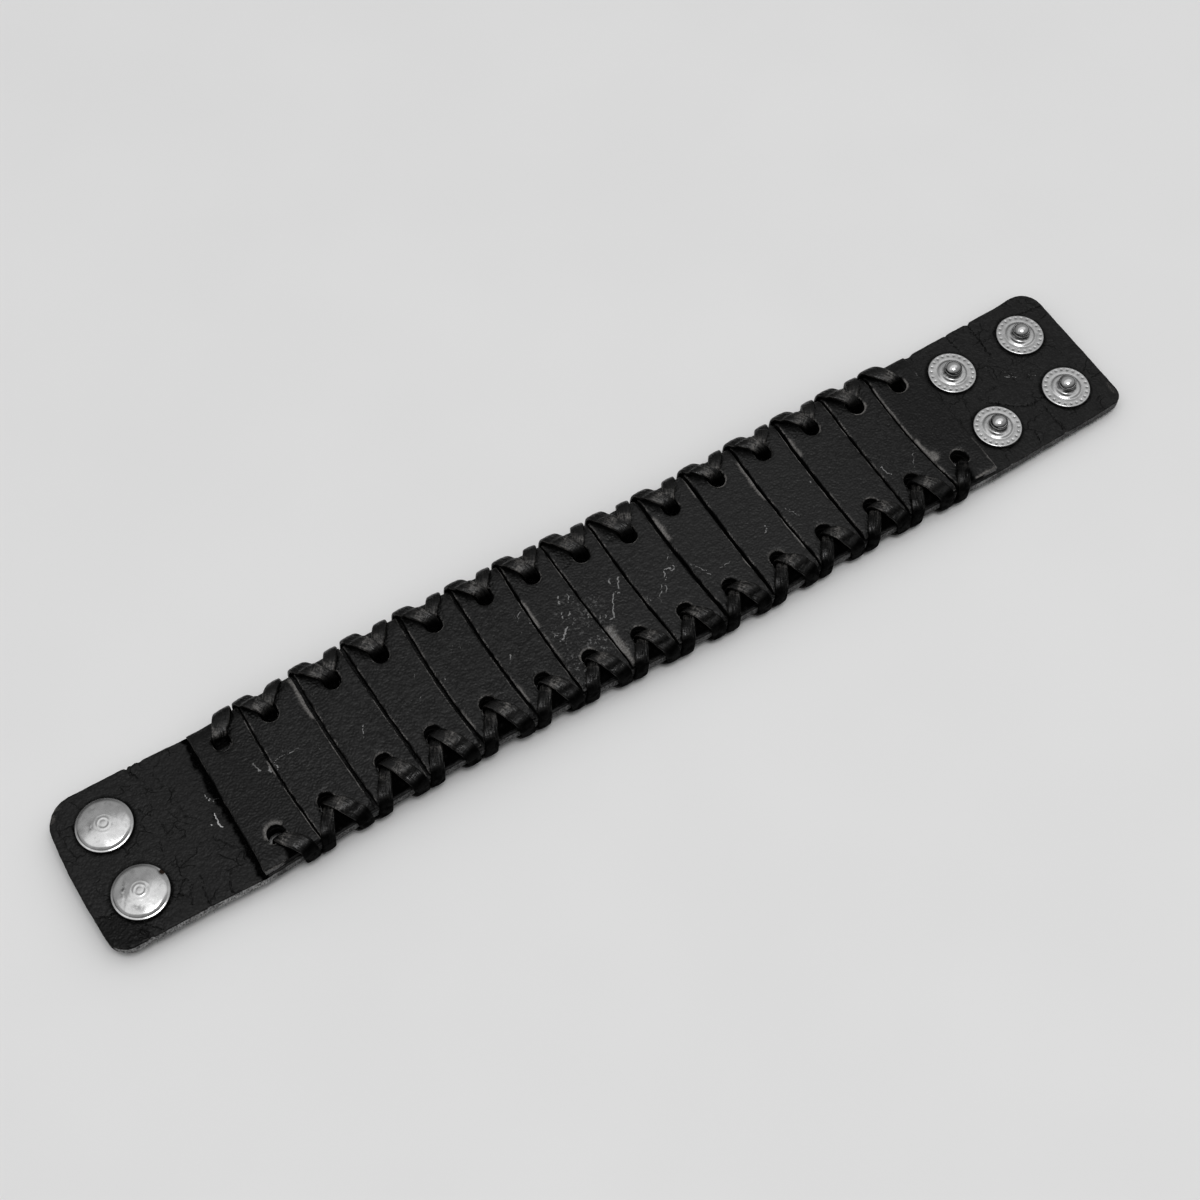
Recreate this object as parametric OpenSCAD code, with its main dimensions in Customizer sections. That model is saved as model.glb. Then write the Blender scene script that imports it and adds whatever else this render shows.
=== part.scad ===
// Leather cuff bracelet, unfastened and lying open with its outer side up.
// X runs along the strap, from the cap end to the stud end. Y runs across it, and Z is up.
// The origin is on the surface that the cuff lies on, under the middle of the strap.

/* [Strap] */
// Length of the strap, laid flat
strap_len = 252; // [250:1:280]
// Width of the strap
strap_w = 36; // [35.5:0.5:40]
// Thickness of the strap's leather
strap_t = 2.8; // [2:0.1:3]
// Radius of the far corner at the cap end, worn rounder than the rest
cap_far_r = 6.5; // [2:0.5:8]
// Radius of the near corner at the cap end
cap_near_r = 4.5; // [2:0.5:8]
// Radius of the far corner at the stud end
stud_far_r = 5; // [2:0.5:8]
// Radius of the near corner at the stud end
stud_near_r = 3; // [2:0.5:8]
// How far the middle of the cap end swells out past its corners
end_swell = 0.5; // [0.1:0.1:1.5]

/* [Slats] */
// Thickness of the slats' leather
slat_t = 2.2; // [1.5:0.1:2.4]
// Length of a slat, across the strap
slat_len = 35.2; // [34:0.2:35.4]
// Air between a slat and the strap under it
slat_air = 0.05; // [0.03:0.01:0.1]

/* [Lacing] */
// Width of a lacing hole, along the strap
hole_w = 3.8; // [3.6:0.1:4.4]
// Distance from the edge of the strap to the middle of a lacing hole
hole_inset = 6.5; // [6:0.1:7]
// Width of the lace, measured along the strap
lace_w = 3.8; // [3:0.1:3.9]
// Thickness of the lace
lace_t = 0.9; // [0.6:0.05:0.9]
// Air between the lace and what it lies on
lace_air = 0.1; // [0.05:0.01:0.1]
// How far the wide strand leans on its way to the edge, as a share of the way to the next hole
wide_lean = 0.34; // [0.28:0.01:0.34]
// How far the narrow strand leans the other way, as such a share
narrow_lean = 0.28; // [0.24:0.01:0.29]

/* [Snaps] */
// Diameter of a cap
cap_d = 12; // [10:0.5:13]
// Height of a cap's dome over the leather
cap_h = 1.6; // [1.2:0.1:2.4]
// Distance from the cap end to the middle of the caps
cap_inset = 10.6; // [9:0.1:12]
// Spacing of the two caps across the strap
cap_pitch = 16.7; // [14:0.1:18]
// Diameter of a stud's flange
stud_d = 11.1; // [9:0.1:12]
// Height of a stud over the leather
stud_h = 3.5; // [3:0.1:4]
// Distance from the stud end to the middle of the outer studs
stud_inset = 10; // [9:0.1:12]
// Distance between the two pairs of studs, the step between the cuff's two sizes
stud_step = 19.9; // [18:0.1:20]
// Spacing of a pair of studs across the strap
stud_pitch = 17.1; // [14:0.1:18]
// Height of a socket under the strap
socket_h = 2.35; // [2:0.05:2.35]
// Diameter of the snap posts that go through the strap
post_d = 3.2; // [2.4:0.1:3.6]
// Air round a post, and between the metal and the leather
snap_air = 0.06; // [0.04:0.01:0.1]

/* [Hidden] */
// The seams between the slats, from the cap end to the stud end. The first and the last row are the
// cut ends of the whole row of slats. FAR, MID and NEAR are where a seam crosses the far edge, the
// middle and the near edge of the strap, GAPE is how wide it stands open, STRAY is how far the
// strap strays sideways there, and LIFT is the height of its underside.
FAR = 0;
MID = 1;
NEAR = 2;
GAPE = 3;
STRAY = 4;
LIFT = 5;
SEAMS = [
    [-92.7, -92.7, -92.7, 0.0, -0.6, 2.40],
    [-80.5, -80.8, -79.7, 0.4, 0.0, 2.45],
    [-67.7, -67.9, -67.0, 0.8, 0.5, 2.60],
    [-56.0, -55.6, -54.7, 0.8, 0.8, 2.75],
    [-42.3, -42.9, -41.8, 0.8, 0.8, 2.80],
    [-29.8, -30.2, -29.1, 0.7, 0.5, 2.75],
    [-18.0, -18.7, -18.2, 0.5, 0.3, 2.60],
    [-7.5, -7.2, -6.3, 0.4, -0.2, 2.45],
    [4.0, 3.9, 4.9, 0.5, -0.7, 2.30],
    [16.2, 16.2, 17.3, 0.9, -1.1, 2.20],
    [28.4, 28.3, 28.8, 0.8, -1.1, 2.10],
    [41.1, 40.7, 41.5, 0.5, -0.6, 2.05],
    [53.2, 52.6, 53.1, 0.7, -0.4, 2.00],
    [65.7, 65.2, 65.4, 0.5, -0.5, 2.00],
    [77.4, 76.6, 78.1, 0.5, -0.7, 2.00],
    [88.7, 88.7, 88.7, 0.0, -1.0, 1.80]
];
// The two lacing holes of each slat. AT_FAR and AT_NEAR are where they lie along the strap, at the
// far and at the near edge, and FAR_IN and NEAR_IN are how much further in than usual each one was
// punched.
AT_FAR = 0;
AT_NEAR = 1;
FAR_IN = 2;
NEAR_IN = 3;
HOLES = [
    [-87.1, -87.0, -0.3, 0.0],
    [-75.8, -75.1, -0.5, 0.2],
    [-61.3, -61.1, 0.2, 1.2],
    [-49.9, -49.5, 0.4, 1.2],
    [-36.8, -36.5, -0.1, 1.1],
    [-24.4, -24.0, -0.4, 0.1],
    [-13.2, -12.7, 0.1, 0.0],
    [-1.4, -1.0, 0.6, -0.3],
    [9.9, 10.3, 1.4, -0.2],
    [21.6, 21.8, 0.2, -0.1],
    [34.1, 34.3, -0.6, -0.1],
    [46.6, 46.5, -0.5, -0.1],
    [59.4, 59.1, -0.3, -0.2],
    [71.3, 70.5, 0.1, 0.5],
    [82.8, 82.9, 0.1, 0.3]
];
slats = len(HOLES);

// The lie of the whole strap, as rows of place along the strap, stray and lift
LIE = concat(
    [[-strap_len / 2, 0.3, 2.4], [-strap_len / 2 + 2 * cap_inset, 0, 2.4]],
    [for (s = SEAMS) [s[MID], s[STRAY], s[LIFT]]],
    [[strap_len / 2 - stud_inset, -0.3, 1.2], [strap_len / 2, 0.1, 1.0]]
);
function stray(x) = lookup(x, [for (row = LIE) [row[0], row[1]]]);
function lift(x) = lookup(x, [for (row = LIE) [row[0], row[2]]]);
function slope(x) = atan((lift(x - 1) - lift(x + 1)) / 2);

slat_z = strap_t + slat_air;
top_z = slat_z + slat_t;
over_all = 20;
edge = strap_w / 2;
hole_y = edge - hole_inset;
cap_x = -strap_len / 2 + cap_inset;
stud_x = strap_len / 2 - stud_inset;
inner_x = stud_x - stud_step;
hug = lace_air + lace_t / 2;
layer = lace_air + lace_t;
$fn = 64;

SLAT_NAMES = [for (i = [1:slats]) str("slat_", i < 10 ? "0" : "", i)];

function reversed(list) = [for (i = [len(list) - 1:-1:0]) list[i]];

// A layer of leather that follows the strap's lift, cut to the plan outline of its children
module laid(low, thick) {
    under = [for (row = LIE) [row[0], row[2] + low]];
    over = [for (row = LIE) [row[0], row[2] + low + thick]];
    intersection() {
        translate([0, strap_w, 0])
            rotate([90, 0, 0])
                linear_extrude(2 * strap_w)
                    polygon(concat(under, reversed(over)));
        linear_extrude(over_all)
            children();
    }
}

// A round hole that is squared off towards the edge, where the lace pulls on it
module lacing_hole(x, side, further_in) {
    translate([x, side * (hole_y - further_in) + stray(x), 0]) {
        cylinder(d = hole_w, h = over_all);
        translate([-hole_w / 2, side > 0 ? 0 : -hole_w / 2, 0])
            cube([hole_w, hole_w / 2, over_all]);
    }
}

module lacing_holes(h) {
    lacing_hole(h[AT_FAR], 1, h[FAR_IN]);
    lacing_hole(h[AT_NEAR], -1, h[NEAR_IN]);
}

// Places its children on the strap's underside, tilted with it
module on_strap(x, side, pitch) {
    translate([x, side * pitch / 2 + stray(x), lift(x)])
        rotate([0, slope(x), 0])
            children();
}

// A quarter of a circle for a rounded corner, from angle a on
corner_steps = 5;
function corner(x, y, r, a) =
    [for (j = [0:corner_steps])
        let (turn = a + 90 * j / corner_steps)
        [x + r * cos(turn), y + r * sin(turn)]];

// The strap's outline, anticlockwise from the near corner at the stud end
swell_steps = 4;
function strap_outline() =
    let (
        half = strap_len / 2,
        cap_y = stray(-half),
        stud_y = stray(half),
        middle = [for (row = LIE) if (abs(row[0]) < half) row]
    )
    concat(
        corner(half - stud_near_r, stud_y - edge + stud_near_r, stud_near_r, -90),
        corner(half - stud_far_r, stud_y + edge - stud_far_r, stud_far_r, 0),
        [for (row = reversed(middle)) [row[0], row[1] + edge]],
        corner(-half + end_swell + cap_far_r, cap_y + edge - cap_far_r, cap_far_r, 90),
        [for (j = [1:swell_steps - 1])
            let (v = 1 - 2 * j / swell_steps)
            [-half + end_swell * v * v, cap_y + v * (edge - max(cap_far_r, cap_near_r))]],
        corner(-half + end_swell + cap_near_r, cap_y - edge + cap_near_r, cap_near_r, 180),
        [for (row = middle) [row[0], row[1] - edge]]
    );

module base_strap() {
    color("#242424")
        difference() {
            laid(0, strap_t)
                polygon(strap_outline());
            for (h = HOLES)
                lacing_holes(h);
            for (side = [-1, 1]) {
                on_strap(cap_x, side, cap_pitch)
                    post_hole();
                for (x = [inner_x, stud_x])
                    on_strap(x, side, stud_pitch)
                        post_hole();
            }
        }
}

// A hole for a post, longer than the leather is thick
module post_hole() {
    translate([0, 0, -strap_t / 2])
        cylinder(d = post_d + 4 * snap_air, h = 2 * strap_t);
}

// Where seam k crosses the strap, from v = -1 at the near edge to v = 1 at the far edge
function seam_x(k, v) =
    let (s = SEAMS[k])
    s[MID] + v * (s[FAR] - s[NEAR]) / 2 + v * v * ((s[FAR] + s[NEAR]) / 2 - s[MID]);

// One side of a slat: the seam's line, moved by half its gape
side_steps = 3;
function slat_side(k, away) =
    [for (j = [-side_steps:side_steps])
        let (v = j / side_steps)
        [seam_x(k, v) + away * SEAMS[k][GAPE] / 2, v * slat_len / 2 + SEAMS[k][STRAY]]];

module slat(i) {
    color("#202020")
        difference() {
            laid(slat_z, slat_t)
                polygon(concat(slat_side(i, -1), reversed(slat_side(i - 1, 1))));
            lacing_holes(HOLES[i - 1]);
        }
}

// The lace goes round the edge in a coil and works its way towards -X. In this working frame each
// turn has a hole, the place where it comes up round the edge, the outer wall of the hole, and how
// many layers of lace lie between it and the strap at the hole, above the strap and below it. The
// first hole holds a wide strand alone, the last one a narrow strand alone, and each hole between
// them holds a narrow strand with a wide one on top. A row of holes has the place along the strap
// and how much further in it was punched.
TURN_HOLE = 0;
TURN_EDGE = 1;
TURN_WALL = 2;
TURN_ABOVE = 3;
TURN_BELOW = 4;
function wall_of(hole) = hole_y + hole_w / 2 - hole[1];
function wide_edge(holes, n) = holes[n][0] - wide_lean * (holes[n][0] - holes[n + 1][0]);
function narrow_edge(holes, n) = holes[n][0] + narrow_lean * (holes[n - 1][0] - holes[n][0]);
function lace_turns(holes) =
    let (last = len(holes) - 1)
    concat(
        [[holes[0][0], wide_edge(holes, 0), wall_of(holes[0]), 0, 1]],
        [for (n = [1:last - 1]) each [
            [holes[n][0], narrow_edge(holes, n), wall_of(holes[n]), 0, 0],
            [holes[n][0], wide_edge(holes, n), wall_of(holes[n]), 1, 1]]],
        [[holes[last][0], narrow_edge(holes, last), wall_of(holes[last]), 0, 0]]
    );

// A station of the lace: the place along the strap, the place across it, the height, the way its
// outer face looks, and its width. It lies on a circle of radius r round an edge of the leather.
function round_edge(x, y, z, r, a, w) = [x, y + r * cos(a), z + r * sin(a), a, w];

// The lace is a little narrower than the hole where it is drawn through it
hole_room = 0.5;
function drawn(share) = lace_w - share * (lace_w - hole_w + hole_room);

// Where a strand that lies on another starts to come down to the edge: over the strap, as a share
// of the way from the hole's wall to the edge, and under it, as a distance from the edge
shoulder_over = 0.5;
shoulder_under = 0.8;
function lace_loop(turn, next_edge) =
    let (
        h = turn[TURN_HOLE],
        e = turn[TURN_EDGE],
        wall = turn[TURN_WALL],
        r_above = hug + turn[TURN_ABOVE] * layer,
        r_below = hug + turn[TURN_BELOW] * layer,
        share = function (y, r) min(1, max(0, (edge - y) / (edge - wall + r))),
        place = function (from, y, r) from + (h - from) * share(y, r),
        over_y = wall + shoulder_over * (edge - wall),
        under_y = edge - shoulder_under
    )
    concat(
        [for (a = [0, 45, 90]) round_edge(e, edge, top_z, hug, a, lace_w)],
        [[place(e, over_y, r_above), over_y, top_z + r_above, 90, drawn(share(over_y, r_above))]],
        [for (a = [90, 135, 180])
            let (y = wall + r_above * cos(a))
            round_edge(place(e, y, r_above), wall, top_z, r_above, a, drawn(share(y, r_above)))],
        [for (a = [180, 225, 270])
            let (y = wall + r_below * cos(a))
            round_edge(place(next_edge, y, r_below), wall, 0, r_below, a, drawn(share(y, r_below)))],
        [[place(next_edge, under_y, r_below), under_y, -r_below, 270, drawn(share(under_y, r_below))]],
        [for (a = [315, 360]) round_edge(next_edge, edge, 0, hug, a, lace_w)]
    );

// The lace starts and ends in a short tail, trimmed narrower and tucked flat under the strap
tail_len = 3.4;
tail_lean = 4;
tail_w = 3;
function lace_stations(turns) =
    let (last = len(turns) - 1, end = lace_loop(turns[last], turns[last][TURN_HOLE] - tail_lean))
    concat(
        [[turns[0][TURN_EDGE], edge - tail_len, -hug, 270, tail_w],
         [turns[0][TURN_EDGE], edge, -hug, 270, tail_w],
         round_edge(turns[0][TURN_EDGE], edge, 0, hug, 315, lace_w),
         round_edge(turns[0][TURN_EDGE], edge, 0, hug, 360, lace_w)],
        [for (t = [0:last - 1]) each lace_loop(turns[t], turns[t + 1][TURN_EDGE])],
        [for (j = [0:len(end) - 3]) end[j]]
    );

// The four corners of the lace at a station, moved with the strap's stray and lift
function lace_section(st, side) =
    [for (c = [[-1, -1], [1, -1], [1, 1], [-1, 1]])
        let (
            x = side * (st[0] + c[0] * st[4] / 2),
            y = side * (st[1] + c[1] * cos(st[3]) * lace_t / 2),
            z = st[2] + c[1] * sin(st[3]) * lace_t / 2
        )
        [x, y + stray(x), z + lift(x)]];

module lace(holes, side) {
    sections = [for (st = lace_stations(lace_turns(holes))) lace_section(st, side)];
    n = len(sections);
    color("#1b1b1b")
        polyhedron(
            points = [for (s = sections) each s],
            faces = concat(
                [[3, 2, 1, 0]],
                [for (k = [0:n - 2]) for (j = [0:3])
                    let (a = 4 * k + j, b = 4 * k + (j + 1) % 4)
                    [a, b, b + 4, a + 4]],
                [[4 * n - 4, 4 * n - 3, 4 * n - 2, 4 * n - 1]]
            ),
            convexity = 10
        );
}

module lace_far() {
    lace([for (h = reversed(HOLES)) [h[AT_FAR], h[FAR_IN]]], 1);
}

module lace_near() {
    lace([for (h = HOLES) [-h[AT_NEAR], h[NEAR_IN]]], -1);
}

// A domed cap with a rolled rim and a small ring pressed into its middle, and its post
cap_rim_r = 0.4;
cap_ring_d = 2.6;
cap_ring_r = 0.2;
dome_steps = 6;
post_grip = 0.45;
module snap_cap() {
    inner_r = cap_d / 2 - cap_rim_r;
    z = strap_t + snap_air;
    dome = [for (j = [0:dome_steps])
        let (q = 1 - j / dome_steps)
        [inner_r * q, z + cap_h - (cap_h - 2 * cap_rim_r) * q * q]];
    color("#c9c9c9") {
        rotate_extrude()
            polygon(concat([[0, z], [inner_r, z]], dome));
        rotate_extrude()
            translate([inner_r, z + cap_rim_r])
                circle(r = cap_rim_r);
        translate([0, 0, z + cap_h - cap_ring_r / 4])
            rotate_extrude()
                translate([cap_ring_d / 2, 0])
                    circle(r = cap_ring_r);
        translate([0, 0, -post_grip])
            cylinder(d = post_d, h = z + post_grip + cap_rim_r / 2);
    }
}

// The socket under a cap: a flange, a barrel that takes a stud's head from below, and a seat for
// the end of the cap's post
socket_flange_t = 0.7;
socket_flange_d = cap_d - 1.4;
socket_wall = 1.9;
socket_floor = 0.45;
head_d = 4.1;
head_room = 0.3;
module snap_socket() {
    bore_d = head_d + head_room;
    color("#b8b8b8")
        difference() {
            union() {
                translate([0, 0, -snap_air - socket_flange_t])
                    cylinder(d = socket_flange_d, h = socket_flange_t);
                translate([0, 0, -socket_h])
                    cylinder(d = bore_d + 2 * socket_wall, h = socket_h - snap_air - socket_flange_t / 2);
            }
            translate([0, 0, -socket_h - post_grip - socket_floor])
                cylinder(d = bore_d, h = socket_h);
            translate([0, 0, -post_grip - snap_air])
                cylinder(d = post_d + 2 * snap_air, h = 2 * post_grip);
        }
}

// A stud: a flat flange with a raised middle, a neck and a flattened round head, hollow from below
flange_t = 0.7;
flange_edge = 0.3;
step_out_r = 3.45;
step_in_r = 3.1;
neck_foot_r = 2.3;
neck_r = 1.5;
head_flat = 0.7;
head_steps = 6;
head_from = -40;
head_turn = 130;
core_d = 2.6;
hollow_h = 1.2;
module snap_stud() {
    z = strap_t + snap_air;
    r = stud_d / 2;
    low_z = z + flange_t * 0.75;
    head_r = head_d / 2;
    head_z = z + stud_h - head_r * head_flat;
    head = [for (j = [0:head_steps])
        let (a = head_from + head_turn * j / head_steps)
        [max(0, head_r * cos(a)), head_z + head_r * head_flat * sin(a)]];
    flange = [[0, z], [r, z], [r, z + flange_t / 2], [r - flange_edge, low_z], [step_out_r, low_z],
        [step_in_r, z + flange_t], [neck_foot_r, z + flange_t], [neck_r, z + flange_t * 1.5]];
    color("#c4c4c4")
        difference() {
            rotate_extrude()
                polygon(concat(flange, head));
            translate([0, 0, z - hollow_h])
                cylinder(d = core_d + 2 * snap_air, h = 2 * hollow_h);
        }
}

// The flat back under a stud, with the post that goes up into the stud's hollow
back_t = 0.75;
back_d = stud_d - 1.2;
module stud_back() {
    color("#b8b8b8") {
        translate([0, 0, -snap_air - back_t])
            cylinder(d = back_d, h = back_t);
        translate([0, 0, -snap_air - back_t / 2])
            cylinder(d = core_d, h = strap_t + hollow_h + back_t / 2);
    }
}

base_strap();
for (i = [1:slats]) slat(i);
lace_far();
lace_near();
on_strap(cap_x, 1, cap_pitch) snap_cap();  // snap_cap_far
on_strap(cap_x, -1, cap_pitch) snap_cap();  // snap_cap_near
on_strap(cap_x, 1, cap_pitch) snap_socket();  // snap_socket_far
on_strap(cap_x, -1, cap_pitch) snap_socket();  // snap_socket_near
on_strap(inner_x, 1, stud_pitch) snap_stud();  // stud_inner_far
on_strap(inner_x, -1, stud_pitch) snap_stud();  // stud_inner_near
on_strap(stud_x, 1, stud_pitch) snap_stud();  // stud_outer_far
on_strap(stud_x, -1, stud_pitch) snap_stud();  // stud_outer_near
on_strap(inner_x, 1, stud_pitch) stud_back();  // stud_back_inner_far
on_strap(inner_x, -1, stud_pitch) stud_back();  // stud_back_inner_near
on_strap(stud_x, 1, stud_pitch) stud_back();  // stud_back_outer_far
on_strap(stud_x, -1, stud_pitch) stud_back();  // stud_back_outer_near
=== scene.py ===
# %% [markdown]
# # A laced leather cuff, lying open
# The cuff is a thick leather strap. Fifteen short leather slats lie across it, and a flat lace is
# whipped over each long edge, through a hole in every slat and in the strap. Two snap caps sit on
# one end and four studs on the other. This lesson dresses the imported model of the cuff: each piece
# is built again with softer, more worn forms, in the same place and in the same frame.

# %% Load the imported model
import math

import bpy
import numpy as np
from mathutils import Matrix, Vector, kdtree, noise
from mathutils.geometry import delaunay_2d_cdt


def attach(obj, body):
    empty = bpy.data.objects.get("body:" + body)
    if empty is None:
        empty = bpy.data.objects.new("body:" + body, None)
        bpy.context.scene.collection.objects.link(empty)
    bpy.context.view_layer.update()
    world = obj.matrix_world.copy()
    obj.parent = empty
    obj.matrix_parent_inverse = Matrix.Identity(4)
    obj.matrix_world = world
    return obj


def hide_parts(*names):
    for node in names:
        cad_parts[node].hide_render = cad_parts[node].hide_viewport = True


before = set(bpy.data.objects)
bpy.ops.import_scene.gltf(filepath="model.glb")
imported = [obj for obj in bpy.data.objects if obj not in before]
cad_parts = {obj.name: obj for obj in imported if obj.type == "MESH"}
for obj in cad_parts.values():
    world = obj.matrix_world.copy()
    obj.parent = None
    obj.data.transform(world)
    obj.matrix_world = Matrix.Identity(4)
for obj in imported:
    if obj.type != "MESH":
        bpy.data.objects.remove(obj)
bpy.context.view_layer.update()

MM = 0.001
print("the packed cuff has", len(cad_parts), "pieces")

# %% [markdown]
# ## The camera
# The photograph was taken from the near side, a little to the cap end, looking down at about 61
# degrees. The camera's place and its three axes were worked out from the strap's edges and the
# round snaps, so they are set directly.

# %% Place the camera
EYE = (-0.115896, -0.178747, 0.391663)
AXES = ((0.84848507, -0.52921191, 0.00280014),  # to the picture's right
        (0.46325324, 0.74527095, 0.47954942),  # up the picture
        (-0.25587013, -0.40559335, 0.8775104))  # back to the eye

lens = bpy.data.cameras.new("camera")
lens.lens = 61.843
lens.sensor_width = 36
lens.clip_start = 0.01
camera = bpy.data.objects.new("camera", lens)
camera.matrix_world = Matrix.Translation(EYE) @ Matrix(AXES).transposed().to_4x4()
bpy.context.scene.collection.objects.link(camera)
bpy.context.scene.camera = camera
print("the camera looks down at", round(math.degrees(math.asin(AXES[2][2])), 1), "degrees")

# %% [markdown]
# ## Shader maths
# A worn finish is mostly arithmetic on masks: this much grain, times that much rubbing. A Wire
# wraps one output of a node, so that such sums are written as Python and the Math nodes are added
# behind them. A Finish is one material, and its add() makes every other kind of node.

# %% A class for wires
class Wire:
    def __init__(self, finish, socket):
        self.finish = finish
        self.socket = socket

    def math(self, operation, a, b):
        return self.finish.add("ShaderNodeMath", {"operation": operation}, {0: a, 1: b})

    def __add__(self, other): return self.math("ADD", self, other)
    def __radd__(self, other): return self.math("ADD", other, self)
    def __sub__(self, other): return self.math("SUBTRACT", self, other)
    def __rsub__(self, other): return self.math("SUBTRACT", other, self)
    def __mul__(self, other): return self.math("MULTIPLY", self, other)
    def __rmul__(self, other): return self.math("MULTIPLY", other, self)

    def most(self, other): return self.math("MAXIMUM", self, other)
    def least(self, other): return self.math("MINIMUM", self, other)

    def step(self, low, high, to_low=0.0, to_high=1.0):
        """Smoothly from to_low to to_high while the value goes from low to high."""
        return self.finish.add(
            "ShaderNodeMapRange", {"interpolation_type": "SMOOTHSTEP"},
            {"Value": self, "From Min": low, "From Max": high, "To Min": to_low, "To Max": to_high})

    def fall(self, low, high):
        """Smoothly from 1 to 0 while the value goes from low to high."""
        return self.step(low, high, 1.0, 0.0)


print("a wire adds, takes away, multiplies and steps")

# %% A class for finishes
def grey(value, warm=0.0):
    return (value * (1 + warm), value, value * (1 - warm), 1)


class Finish:
    def __init__(self, name, owner=None):
        self.material = owner or bpy.data.materials.new(name)
        self.material.use_nodes = True
        self.nodes = self.material.node_tree.nodes
        self.nodes.clear()
        self.place = self.add("ShaderNodeTexCoord", out="Generated" if owner else "Object")

    def add(self, kind, settings=None, sockets=None, out=0):
        node = self.nodes.new(kind)
        for key, value in (settings or {}).items():
            setattr(node, key, value)
        for key, value in (sockets or {}).items():
            if isinstance(value, Wire):
                self.material.node_tree.links.new(value.socket, node.inputs[key])
            else:
                node.inputs[key].default_value = value
        return Wire(self, node.outputs[out]) if node.outputs else node

    def axis(self, letter):
        """The place along X or Y, in metres."""
        return self.add("ShaderNodeSeparateXYZ", None, {"Vector": self.place}, out=letter)

    def noise(self, size, detail=3, roughness=0.55, at=None, distortion=0.0):
        """Cloudy noise whose lumps are about size millimetres across."""
        return self.add("ShaderNodeTexNoise", None, {
            "Vector": at or self.place, "Scale": 1 / (size * MM), "Detail": detail,
            "Roughness": roughness, "Distortion": distortion})

    def stretched(self, x, y, z):
        """The place on the object, with each axis scaled."""
        return self.add("ShaderNodeMapping", None, {"Vector": self.place, "Scale": (x, y, z)})

    def marks(self, *names):
        """Marks painted on the mesh, point by point."""
        return [self.add("ShaderNodeAttribute", {"attribute_name": name}, out="Fac")
                for name in names]

    def mix(self, share, a, b):
        """From colour a to colour b."""
        sockets = {"Factor": share, 6: a, 7: b}
        return self.add("ShaderNodeMix", {"data_type": "RGBA"}, sockets, out=2)

    def coats(self, colour, *rows):
        """Rows of (share, colour), laid over a colour one after another."""
        for share, coat in rows:
            colour = self.mix(share, colour, coat)
        return colour

    def finish(self, colour, rough, height=None, painted_shade=None, **more):
        """Adds the shader and the output. Height is in millimetres, and painted shade, a flat black
        without gloss, covers the shader where its mark says. The underscores in the names of more
        sockets stand for spaces."""
        sockets = {key.replace("_", " "): value for key, value in more.items()}
        sockets.update({"Base Color": colour, "Roughness": rough})
        if height:
            sockets["Normal"] = self.add("ShaderNodeBump", None, {
                "Height": height, "Distance": MM, "Strength": 1.0})
            sockets["Roughness"] = rough.least(1.0)
        shader = self.add("ShaderNodeBsdfPrincipled", None, sockets)
        # Painted shade: a flat, dull black is mixed in wherever the mark stands for shade.
        if painted_shade:
            painted_shade_bsdf = self.add("ShaderNodeBsdfPrincipled", None, {
                "Base Color": grey(0.0015), "Roughness": 1.0, "Specular IOR Level": 0.08})
            shader = self.add("ShaderNodeMixShader", None, {0: painted_shade, 1: shader, 2: painted_shade_bsdf})
        self.add("ShaderNodeOutputMaterial", None, {"Surface": shader})
        return self.material


print("a finish turns marks and noise into colour, roughness and bump")

# %% [markdown]
# ## The floor and the light
# The cuff lies in a white shooting tent. The lamp hangs high above the camera, so its own shadow
# hides behind the cuff. The tent's roof glows too, brightest overhead, and leaves the soft shadow
# on the near side. The snap caps show both: grey cloth in the upper half, bright roof in the lower.

# %% Make the floor
def make_floor():
    side = 3.0
    mesh = bpy.data.meshes.new("floor")
    corners = [(-side, -side, 0), (side, -side, 0), (side, side, 0), (-side, side, 0)]
    mesh.from_pydata(corners, [], [(0, 1, 2, 3)])
    floor = bpy.data.objects.new("floor", mesh)
    bpy.context.scene.collection.objects.link(floor)
    paper = Finish("white_paper")
    tone = paper.mix(paper.noise(60, detail=2).step(0.3, 0.7), grey(0.755), grey(0.767))
    mesh.materials.append(paper.finish(tone, 0.9, Specular_IOR_Level=0.1))


make_floor()
print("the floor is laid")

# %% Light the tent
ROOF_LEAN = 1.45  # how high the brightest part of the roof stands, in radians


def area_light(name, place, size, power):
    """A rectangular lamp that shines on the middle of the cuff."""
    lamp = bpy.data.lights.new(name, "AREA")
    lamp.shape = "RECTANGLE"
    lamp.size, lamp.size_y = size
    lamp.energy = power
    light = bpy.data.objects.new(name, lamp)
    aim = Vector(place).to_track_quat("Z", "Y").to_matrix().to_4x4()
    light.matrix_world = Matrix.Translation(place) @ aim
    bpy.context.scene.collection.objects.link(light)


def make_tent():
    """White cloth all round: brightest overhead, dimmest low down."""
    world = bpy.data.worlds.new("tent")
    sky = Finish("tent", world)
    wide = sky.add("ShaderNodeVectorMath", {"operation": "MULTIPLY"},
                   {0: sky.place, 1: (0.4, 1, 1)})
    way = sky.add("ShaderNodeVectorMath", {"operation": "NORMALIZE"}, {0: wide})
    roof = sky.add("ShaderNodeVectorMath", {"operation": "DOT_PRODUCT"}, {
        0: way, 1: (0.0, math.cos(ROOF_LEAN), math.sin(ROOF_LEAN))}, out="Value")
    glow = roof.step(0.1, 0.8, 0.09, 0.46) + roof.step(0.88, 0.99) * 0.5
    cloth = sky.add("ShaderNodeBackground", None, {"Color": (1, 1, 1, 1), "Strength": glow})
    sky.add("ShaderNodeOutputWorld", None, {"Surface": cloth})
    bpy.context.scene.world = world


area_light("lamp_over_camera", (0.0, -0.32, 1.45), (0.62, 0.52), 3.9)
make_tent()
bpy.context.scene.view_settings.view_transform = "Standard"
bpy.context.scene.view_settings.look = "High Contrast"
print("the tent is lit")

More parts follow.
